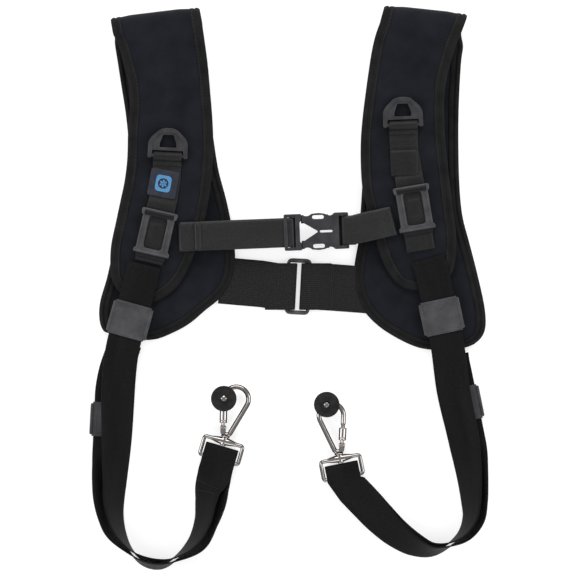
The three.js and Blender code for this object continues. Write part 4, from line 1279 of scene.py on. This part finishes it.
# ---------------------------------------------------------------- plastic hardware
def add_d_ring(data):
    """Moulded D: an arch with a sunk plate that has a window, and a bar for the webbing."""
    name = data["name"]
    shape = Shape(on_deck(*data["d_ring"]) @ Matrix.Translation((0, 0, D_RING_HEIGHT)))
    outer = [(20.4, -2.4), (20.2, 13.5), (17.6, 18.5), (9.0, 26.8), (3.5, 28.4)]
    arch = [(15.8, -2.4), *mirrored(outer), (-15.8, -2.4), (-15.6, 13.0), (-13.8, 16.2),
            (-6.6, 23.3), (6.6, 23.3), (13.8, 16.2), (15.6, 13.0)]
    shape.add(prism(soften(arch, 2.4), -2, 2, bevel=0.8, steps=4))
    plate = mirrored([(16.4, 5.4), (16.4, 12.5), (14.5, 16.6), (7.0, 24.0)])
    window = mirrored([(8.6, 8.7), (8.4, 12.5), (5.2, 21.5)])
    shape.add(prism(soften(plate, 1.0), -1.7, 1.15, [soften(window, 1.1)], bevel=0.4))
    shape.add(rod((-16.6, 0, 0), (16.6, 0, 0), D_RING_BAR, 0.3))
    build_plastic(f"{name}_d_ring_moulding", shape, f"{name}_d_ring", DARK_PLASTIC)


def add_adjuster(data):
    """Webbing keeper: two broad rails between lipped end bars, open in the middle."""
    name = data["name"]
    place = on_deck(*data["adjuster"])
    x1, y1, rail = 18.6, 23, 16.6       # half its width and length, and the rails' outsides
    outline = mirrored([(x1, -y1), (x1, -y1 + 4.2), (rail, -y1 + 5.4), (rail, y1 - 5.4),
                        (x1, y1 - 4.2), (x1, y1)])
    window = rounded(-9.4, 9.4, -y1 + 6, y1 - 6.5, 3.4)
    shape = Shape(place)
    shape.add(prism(soften(outline, 1.5), ADJUSTER_WEB_HEIGHT + 1.15, 6.3, [window], 0.7, 4))
    for side in (-1, 1):
        for x, half in ((side * 10.9, 0.75), (side * 15.3, 0.95)):
            shape.block(x - half, x + half, -y1 + 5, y1 - 5, 0.7, 5.9, 7.1, 0.45, 4)
        wall, cap = side * 15.85, side * 16.6
        shape.block(wall - 0.72, wall + 0.72, -y1 + 1, y1 - 1, 0.6, 0.6, 5.6, 0.3)
        shape.block(cap - 1.4, cap + 1.4, y1 - 6.5, y1 - 0.3, 1.2, 5.9, 8.2, 0.7, 4)
    for y in (-y1 + 1.6, y1 - 0.9):
        shape.add(rod((-x1 + 1.2, y, 5.9), (x1 - 1.2, y, 5.9), 1.3, 0.6))
    shape.block(-rail + 0.5, rail - 0.5, -3, 3, 0.8, 0.6, ADJUSTER_WEB_HEIGHT - 1.1, 0.5)
    build_plastic(f"{name}_adjuster_moulding", shape, f"{name}_adjuster")
    rolls = Shape(place)
    rolls.add(rod((-14.9, y1 - 4.2, 6.7), (14.9, y1 - 4.2, 6.7), 2.6, 0.5, flat=0.5))
    rolls.add(rod((-15.2, -y1 - 1.6, 5.0), (15.2, -y1 - 1.6, 5.0), 2.4, 0.5, flat=0.55))
    build(f"{name}_adjuster_rolls", rolls, PAD_WEBBING, f"{name}_adjuster", ())


def add_stopper(data, which, height):
    """Plate keeper round the strap: a low tunnel with two raised side ridges."""
    name = f"{data['name']}_{which}"
    x, y, turn = data[f"{which}_stopper"]
    place = Matrix.Translation(SHIFT) @ shifted(x, y, height + STRAP_THICKNESS / 2, turn)
    x1, y1 = 19.4, 17.6                 # half its width and length
    inner, outer = STRAP_THICKNESS / 2 + 0.35, STRAP_THICKNESS / 2 + 1.75
    shape = Shape(place)
    for side in (-1, 1):
        low, high = sorted((side * inner, side * outer))
        shape.block(-x1 + 1, x1 - 1, -y1, y1, 1.4, low, high, 0.45)
        edge, wall = side * x1, side * 17.75
        shape.block(edge - 1.6, edge + 1.5, -y1 + 1.6, y1 - 1.6, 1.4, -outer, outer + 0.9, 0.9, 4)
        shape.block(wall - 0.9, wall + 0.9, -y1, y1, 0.4, -outer + 0.2, outer - 0.2, 0.3)
    for y0 in (-y1 + 1.5, y1 - 2.6):
        shape.block(-x1 + 3.2, x1 - 3.2, y0, y0 + 1.1, 0.5, outer - 0.3, outer + 0.35, 0.3)
    shape.add(prism(rounded(-x1 + 4.6, x1 - 4.6, -y1 + 4.4, y1 - 4.4, 2.4), outer - 0.3,
                    outer + 0.22, [rounded(-x1 + 5.4, x1 - 5.4, -y1 + 5.2, y1 - 5.2, 1.8)], 0.2))
    build_plastic(f"{name}_keeper", shape, f"{name}_stopper")


def buckle_bar(x):
    return rod((x, -16.3, 0), (x, 16.3, 0), BAR_RADIUS, 0.3)


def add_buckle_plug():
    """Male half: a frame round its bar, an end bar, a lip over the webbing and two arms."""
    male = Shape(buckle_frame())
    rim = [(-30.2, -18.6), (-15, -18.6), (-15, -11.2), (-16.9, -10.2), (-16.9, 10.2), (-15, 11.2),
           (-15, 18.6), (-30.2, 18.6), (-30.2, 15.35), (-21.5, 15.35), (-21.5, -15.35),
           (-30.2, -15.35)]
    male.add(prism(soften(rim, 1.5), -3.2, 3.2, bevel=0.9, steps=4))
    male.block(-33, -29.4, -18.6, 18.6, 1.7, -1.65, 1.65, 0.8, 4)
    male.block(-33, -29.4, -18.6, 18.6, 1.7, 3.8, 5.2, 0.6, 4)
    for y in (-17.2, 17.2):
        male.block(-32.6, -22, y - 1.3, y + 1.3, 1.2, 0.8, 4.9, 0.6)
    male.add(buckle_bar(BUCKLE_BAR))
    male.block(-23.7, -21, -15.8, 15.8, 0.3, -3.15, -2.75, 0.1)
    for y0 in (-17.4, 8.8):
        male.block(-15.4, -12.5, y0, y0 + 8.6, 0.5, -2.79, -2.45, 0.1)
    build_plastic("buckle_male_moulding", male, "buckle_male", DARK_PLASTIC)

    arm = [(-14.6, 11), (-14.6, 15.2), (-6, 13.4), (3, 12.3), (8.6, 12.6), (9.2, 17.2),
           (12.4, 17.2), (14.6, 12), (14.2, 8.6), (3, 8.8), (-6, 9.6)]
    for side, label in ((1, "upper"), (-1, "lower")):
        shape = Shape(buckle_frame())
        outline = soften([(x, y * side) for x, y in arm], 1.0)
        shape.add(prism(outline, -2.3, 2.3, bevel=0.6))
        for x in (9.9, 11.0, 12.1):
            shape.add(rod((x, side * 17.0, -1.7), (x, side * 17.0, 1.7), 0.28, 0.1, 10))
        build_plastic(f"buckle_{label}_arm", shape, f"buckle_prong_{label}", DARK_PLASTIC)


def add_buckle_socket():
    """Female half: two cross-shaped cheeks with an eye by each arm, and the webbing frame."""
    mouth = -14.4
    female = Shape(buckle_frame())
    edge = [(mouth, 17.9), (-11.4, 16.0), (-8.2, 16.0), (-4.0, 18.3), (2.5, 18.9), (8.6, 18.0),
            (12.8, 16.0), (15.6, 16.0), (19.0, 18.3)]
    notch = [(mouth, 10.2), (1.2, 0.6), (1.2, -0.6), (mouth, -10.2)]
    cheek = [(x, -y) for x, y in edge] + edge[::-1] + notch
    raised = [(mouth + 1.6, 10.6), (mouth + 1.6, 16.6), (-7, 15.4), (-2.4, 11.6), (4, 10.8),
              (9, 11.8), (12.5, 15.8), (17.5, 16.3), (17.5, 3.6), (2.6, 2.6)]
    holes = [rounded(-3.9, 8.1, 12.7, 16.8, 2.0), rounded(-3.9, 8.1, -16.8, -12.7, 2.0),
             rounded(3.6, 16.4, -1.2, 1.2, 1.15)]
    for side in (-1, 1):
        low, high = sorted((side * 2.95, side * 4.7))
        female.add(prism(soften(cheek, 1.3), low, high, holes, bevel=0.7, steps=4))
        low, high = sorted((side * 4.5, side * 5.0))
        for leg in (-1, 1):
            outline = soften([(x, y * leg) for x, y in raised], 2.2)
            female.add(prism(outline, low, high, bevel=0.3))
        y0, y1 = sorted((side * 17.65, side * 18.15))
        for x0, x1 in ((-5.5, 8.3), (17.6, 19.2)):
            female.block(x0, x1, y0, y1, 0.2, -4.2, 4.2, 0.1)
    female.block(16.6, 22.8, -16.9, 16.9, 1, -4.5, 4.5, 0.4)
    female.block(21.8, 26.6, -15.9, 15.9, 0.4, -4.9, -4.1, 0.2)
    rim = [(18.6, -18.6), (30.4, -18.6), (30.4, -15.35), (23.0, -15.35), (23.0, 15.35),
           (30.4, 15.35), (30.4, 18.6), (18.6, 18.6)]
    female.add(prism(soften(rim, 0.8), -5, 5, bevel=0.7, steps=4))
    female.block(29.7, 33, -18.6, 18.6, 1.5, -1.65, 1.65, 0.8, 4)
    female.add(buckle_bar(BUCKLE_END_BAR))
    build_plastic("buckle_female_moulding", female, "root", DARK_PLASTIC, "buckle_female")


def add_back_ring():
    x1, y1 = BAND_HALF_RING
    shape = Shape(shifted(*BAND_MIDDLE, BAND_TURN))
    path = [Vector((x, y, 0)) for x, y in rounded(-x1, x1, -y1, y1, 3.5, 8)]
    shape.add(tube(resample(path, 1.6), 1.8, 20, endless=True, flat=0.92))
    for y in (-y1 + 1.5, y1 - 1.5):
        shape.add(rod((-x1 + 1.5, y, 0), (x1 - 1.5, y, 0), 1.1, 0.4))
    build_plastic("back_ring_moulding", shape, "back_ring")


# ---------------------------------------------------------------- label
def add_label():
    """Patch sewn over the left webbing, with a border seam and a plain ring-and-bar emblem."""
    place = on_deck(-127, 107, -11)
    shape = Shape(place)
    shape.block(-14.5, 14.5, -14, 14, 2, 2.25, 3.3, 0.4)
    build("label_cloth", shape, label_material(), "root", ["label_patch"],
          weighted=True)
    seams = Shape()
    box_stitch(seams, place, -12.9, 12.9, -12.4, 12.4, 3.32, pitch=2.1)
    build_seam("label_seam", seams)
    emblem = Shape(place)
    emblem.add(prism(rounded(-7.9, 7.9, -8.4, 8.4, 3.6, 8), 3.2, 3.75, [circle(5.3, 40)], 0.2))
    bar = prism(rounded(-4.0, 4.0, -0.9, 0.9, 0.7), 3.2, 3.72, bevel=0.2)
    for turn in (30, 90, 150):
        emblem.add(bar, shifted(0, 0, 0, turn))
    build("label_emblem", emblem, emblem_material(), "root", (), weighted=True)


# ---------------------------------------------------------------- metal hardware
RING_HALF_WIDTH, RING_LENGTH, RING_WIRE = 20.4, 19.4, 2
BARREL_RADIUS, PIN_RADIUS = 3.8, 1.8
FOOT_ABOVE_BARREL = 10.8
WIRE = 2.5
TOP_RADIUS, FOOT_RADIUS, REACH = 12.6, 4, 34
TOP_CIRCLE, FOOT_CIRCLE = (Vector((0, REACH, 0)), TOP_RADIUS), (Vector((0, 0, 0)), FOOT_RADIUS)
LEAN = math.degrees(math.asin((TOP_RADIUS - FOOT_RADIUS) / REACH))
NOSE, PIN_SHARE = 0.72, 0.1         # shares of the way along the gate's side
SWIVEL_COLLAR = -6.5                # mm along y, where the swivel pin meets the hook
Y_AXIS = Matrix.Rotation(-math.pi / 2, 4, "X")    # turns a lathe's axis to y


def around(arc, degrees):
    middle, radius = arc
    angle = math.radians(degrees)
    return middle + Vector((math.cos(angle), math.sin(angle), 0)) * radius


GATE_START, GATE_END = around(FOOT_CIRCLE, 180 + LEAN), around(TOP_CIRCLE, 180 + LEAN)


def gate_point(share):
    return GATE_START.lerp(GATE_END, share)


def ring_place(data):
    """The ring's frame: its lower bar along x, mirrored on the right side."""
    return joint_frame(f"{data['name']}_ring_hinge") @ Matrix.Scale(-data["side"], 4, (1, 0, 0))


def foot_place(data):
    return ring_place(data) @ Matrix.Translation((0, RING_LENGTH + FOOT_ABOVE_BARREL, 0))


def add_ring(data):
    """Wire ring with a spindle-shaped top bar and the hub that the swivel pin turns in."""
    name = data["name"]
    outline = rounded(-RING_HALF_WIDTH, RING_HALF_WIDTH, 0, RING_LENGTH, 2.6, 8)
    shape = Shape(ring_place(data))
    path = resample([Vector((x, y, 0)) for x, y in outline], 1.0)
    shape.add(tube(path, RING_WIRE, 20, endless=True))
    lift = Matrix.Translation((0, RING_LENGTH, 0))
    spindle = [(0, -14), (1.7, -13.9), (2.15, -13), (2.3, -11.5), (3.1, -8), (3.7, -4.5), (3.8, -2),
               (3.8, 2), (3.7, 4.5), (3.1, 8), (2.3, 11.5), (2.15, 13), (1.7, 13.9), (0, 14)]
    shape.add(lathe(soft_profile(spindle, 1.2), 36), lift @ Matrix.Rotation(math.pi / 2, 4, "Y"))
    hub = [(2.3, -4.0), (3.2, -4.0), (3.6, -3.4), (3.6, 3.4), (3.2, 4.0), (2.3, 4.0), (2.3, -4.0)]
    shape.add(lathe(hub, 32), lift @ Y_AXIS)
    build_metal(f"{name}_ring_forging", shape, f"{name}_ring", f"{name}_strap_ring")


def add_carabiner(data):
    """Hook of round wire from the gate's nose round to the fork that holds the gate."""
    name = data["name"]
    path = [gate_point(NOSE + 0.14 * k / 4) for k in range(5)]
    path += [around(TOP_CIRCLE, 180 + LEAN - k * (180 + 2 * LEAN) / 32) for k in range(33)]
    start, end = path[-1], around(FOOT_CIRCLE, -LEAN)
    path += [start.lerp(end, k / 10) for k in range(1, 11)]
    path += [around(FOOT_CIRCLE, -LEAN - k * (180 - 2 * LEAN) / 12) for k in range(1, 12)]
    path.append(gate_point(-0.02))
    radii = [WIRE * 0.8] + [WIRE] * (len(path) - 2) + [WIRE * 0.8]
    shape = Shape(foot_place(data))
    shape.add(tube(path, radii, 22))
    pin = gate_point(PIN_SHARE)
    ahead = (GATE_END - GATE_START).normalized()
    aside = Vector((-ahead.y, ahead.x, 0))
    tongue = [pin + ahead * y - aside * x for x, y in circle(3.1, 28) if y > -0.1]
    tongue += [pin - ahead * 6.4 + aside * 2.3, pin - ahead * 6.4 - aside * 2.3]
    bore = [(pin.x + x, pin.y + y) for x, y in circle(1.35, 20)]
    for z0, z1 in ((-3.3, -1.95), (1.95, 3.3)):
        shape.add(prism(tongue, z0, z1, [bore], bevel=0.7))
    collar = soft_profile([(0, -4.0), (3.2, -4.2), (4.5, -5.4), (4.5, -6.7), (0, -6.75)], 0.5)
    shape.add(lathe(collar, 32), Y_AXIS)
    build_metal(f"{name}_carabiner_hook", shape, f"{name}_carabiner", f"{name}_carabiner")


def add_pins(data):
    """The swivel pin in the ring's barrel and the rivet that holds the gate."""
    name = data["name"]
    top, bottom = SWIVEL_COLLAR, -FOOT_ABOVE_BARREL - BARREL_RADIUS - 0.3
    shape = Shape(foot_place(data))
    stem = soft_profile([(0, bottom - 0.7), (2.8, bottom - 0.7), (2.8, bottom),
                         (PIN_RADIUS, bottom), (PIN_RADIUS, top), (0, top)], 0.35)
    shape.add(lathe(stem, 28), Y_AXIS)
    rivet = soft_profile([(0, -4.1), (1.2, -3.9), (2.0, -3.3), (1.15, -3.25), (1.15, 3.25),
                          (2.0, 3.3), (1.2, 3.9), (0, 4.1)], 0.25)
    shape.add(lathe(rivet, 24), Matrix.Translation(gate_point(PIN_SHARE)))
    build_metal(f"{name}_swivel_and_rivet", shape, f"{name}_carabiner", f"{name}_swivel_pin",
                f"{name}_gate_pin")


def add_gate(data):
    """Spring gate with an eye, a rod and thread ridges, and the lock sleeve on it."""
    name = data["name"]
    pin, along = gate_point(PIN_SHARE), GATE_END - GATE_START
    turned = Matrix.Rotation(math.atan2(-along.x, along.y), 4, "Z") @ Y_AXIS
    shape = Shape(foot_place(data))
    shape.add(rod(gate_point(PIN_SHARE + 0.05), gate_point(PIN_SHARE + 0.17), 1.9, 0.2))
    shape.add(rod(gate_point(PIN_SHARE + 0.14), gate_point(NOSE - 0.02), 2.0, 0.4))
    shape.add(prism([(pin.x + x, pin.y + y) for x, y in circle(3.2, 28)], -1.6, 1.6, bevel=0.35))
    for k in range(5):
        z = k * 0.72
        ridge = [(1.9, z), (2.22, z + 0.18), (1.9, z + 0.36), (1.7, z + 0.18), (1.9, z)]
        shape.add(lathe(ridge, 28), Matrix.Translation(gate_point(0.615)) @ turned)
    build_metal(f"{name}_gate_bar", shape, f"{name}_gate", f"{name}_gate")

    sleeve_shape = Shape(foot_place(data))
    profile = soft_profile([(2.85, 0.0), (3.5, 0.0), (3.8, 0.6), (3.8, 1.8), (3.6, 2.1),
                            (3.6, 2.6), (3.8, 2.9), (3.8, 12.2), (3.5, 12.7), (2.85, 12.7)],
                           0.25, 3)
    sleeve_shape.add(lathe(profile + [profile[0]], 64),
                     Matrix.Translation(gate_point(0.25)) @ turned)
    build_metal(f"{name}_sleeve_turned", sleeve_shape, f"{name}_lock_sleeve",
                f"{name}_lock_sleeve")


# ---------------------------------------------------------------- camera mount
def add_mount(data):
    """Shackle on the carabiner, with a screw that carries a rubber-faced disc."""
    name = data["name"]
    spot = around(TOP_CIRCLE, data["mount_angle"])
    place = foot_place(data) @ shifted(spot.x, spot.y, 0, data["mount_angle"] - 90)
    bail = Shape(place @ Matrix.Rotation(math.pi / 2, 4, "Z")
                 @ Matrix.Rotation(math.pi / 2, 4, "X"))
    bail.add(prism(rounded(-5.6, 5.6, -5.1, 7, 2.6, 8), -3, 3,
                   [rounded(-3.6, 3.6, -3.1, 5, 1.6, 8)], bevel=0.7, steps=4))
    build_metal(f"{name}_bail_forging", bail, f"{name}_bail", f"{name}_mount_bail")

    screw = Shape(place)
    head = soft_profile([(0, 3.2), (3.1, 3.2), (3.1, 4.7), (2.2, 4.7), (2.2, 7.3), (12, 7.3),
                         (12, 8.8), (3.0, 8.8), (3.0, 13.0)], 0.4)
    screw.add(lathe(head + [(0, 13.0)], 64))
    screw.add(thread_shell(3.17, 0.55, 12.4, 17.7, 1.27, 40))
    build_metal(f"{name}_screw_turned", screw, f"{name}_screw", f"{name}_mount_screw")

    disc = Shape(place)
    face = soft_profile([(3.5, 9.1), (12.6, 9.1), (13.2, 9.6), (13.2, 11.9), (12.5, 12.6),
                         (11.2, 12.6), (10.9, 12.35), (10.3, 12.35), (10.0, 12.6), (6.8, 12.6),
                         (6.5, 12.4), (6.1, 12.4), (5.8, 12.6), (3.5, 12.6)], 0.25, 3)

    def grip(i, angle):
        return -0.18 * abs(math.sin(24 * angle)) if face[i % len(face)][0] > 13.0 else 0.0

    disc.add(lathe(face + [face[0]], 144, wave=grip))
    build(f"{name}_rubber_disc", disc, RUBBER, f"{name}_screw", [f"{name}_mount_washer"],
          weighted=True)


def thread_shell(radius, depth, z0, z1, pitch, segments):
    """Screw thread between two heights as a spiral shell, with a cone on its tip."""
    levels = int((z1 - z0) / pitch * 6)
    rings = []
    for j in range(levels + 1):
        z = z0 + (z1 - z0) * j / levels
        tip = 1 - 0.22 * smooth(z - (z1 - 1.0))
        ring = []
        for k in range(segments):
            phase = ((z - z0) / pitch - k / segments) % 1.0
            r = (radius - depth * abs(2 * phase - 1)) * tip
            angle = 2 * math.pi * k / segments
            ring.append(Vector((r * math.cos(angle), r * math.sin(angle), z)))
        rings.append(ring)
    for share, rise in ((0.68, 0.35), (0.5, 0.7)):
        rings.append([Vector((x, y, z1 + rise)) for x, y in circle(radius * share, segments)])
    return sleeve(rings)


# ---------------------------------------------------------------- assembly
for side_data in (LEFT, RIGHT):
    add_pad(side_data)
    add_camera_strap(side_data)
    add_pad_webbing(side_data)
    add_d_ring(side_data)
    add_adjuster(side_data)
    add_stopper(side_data, "front", 15)
    add_stopper(side_data, "rear", 2.3)
    add_ring(side_data)
    add_carabiner(side_data)
    add_pins(side_data)
    add_gate(side_data)
    add_mount(side_data)
add_chest_webbing()
add_back_band()
add_back_ring()
add_buckle_plug()
add_buckle_socket()
add_label()
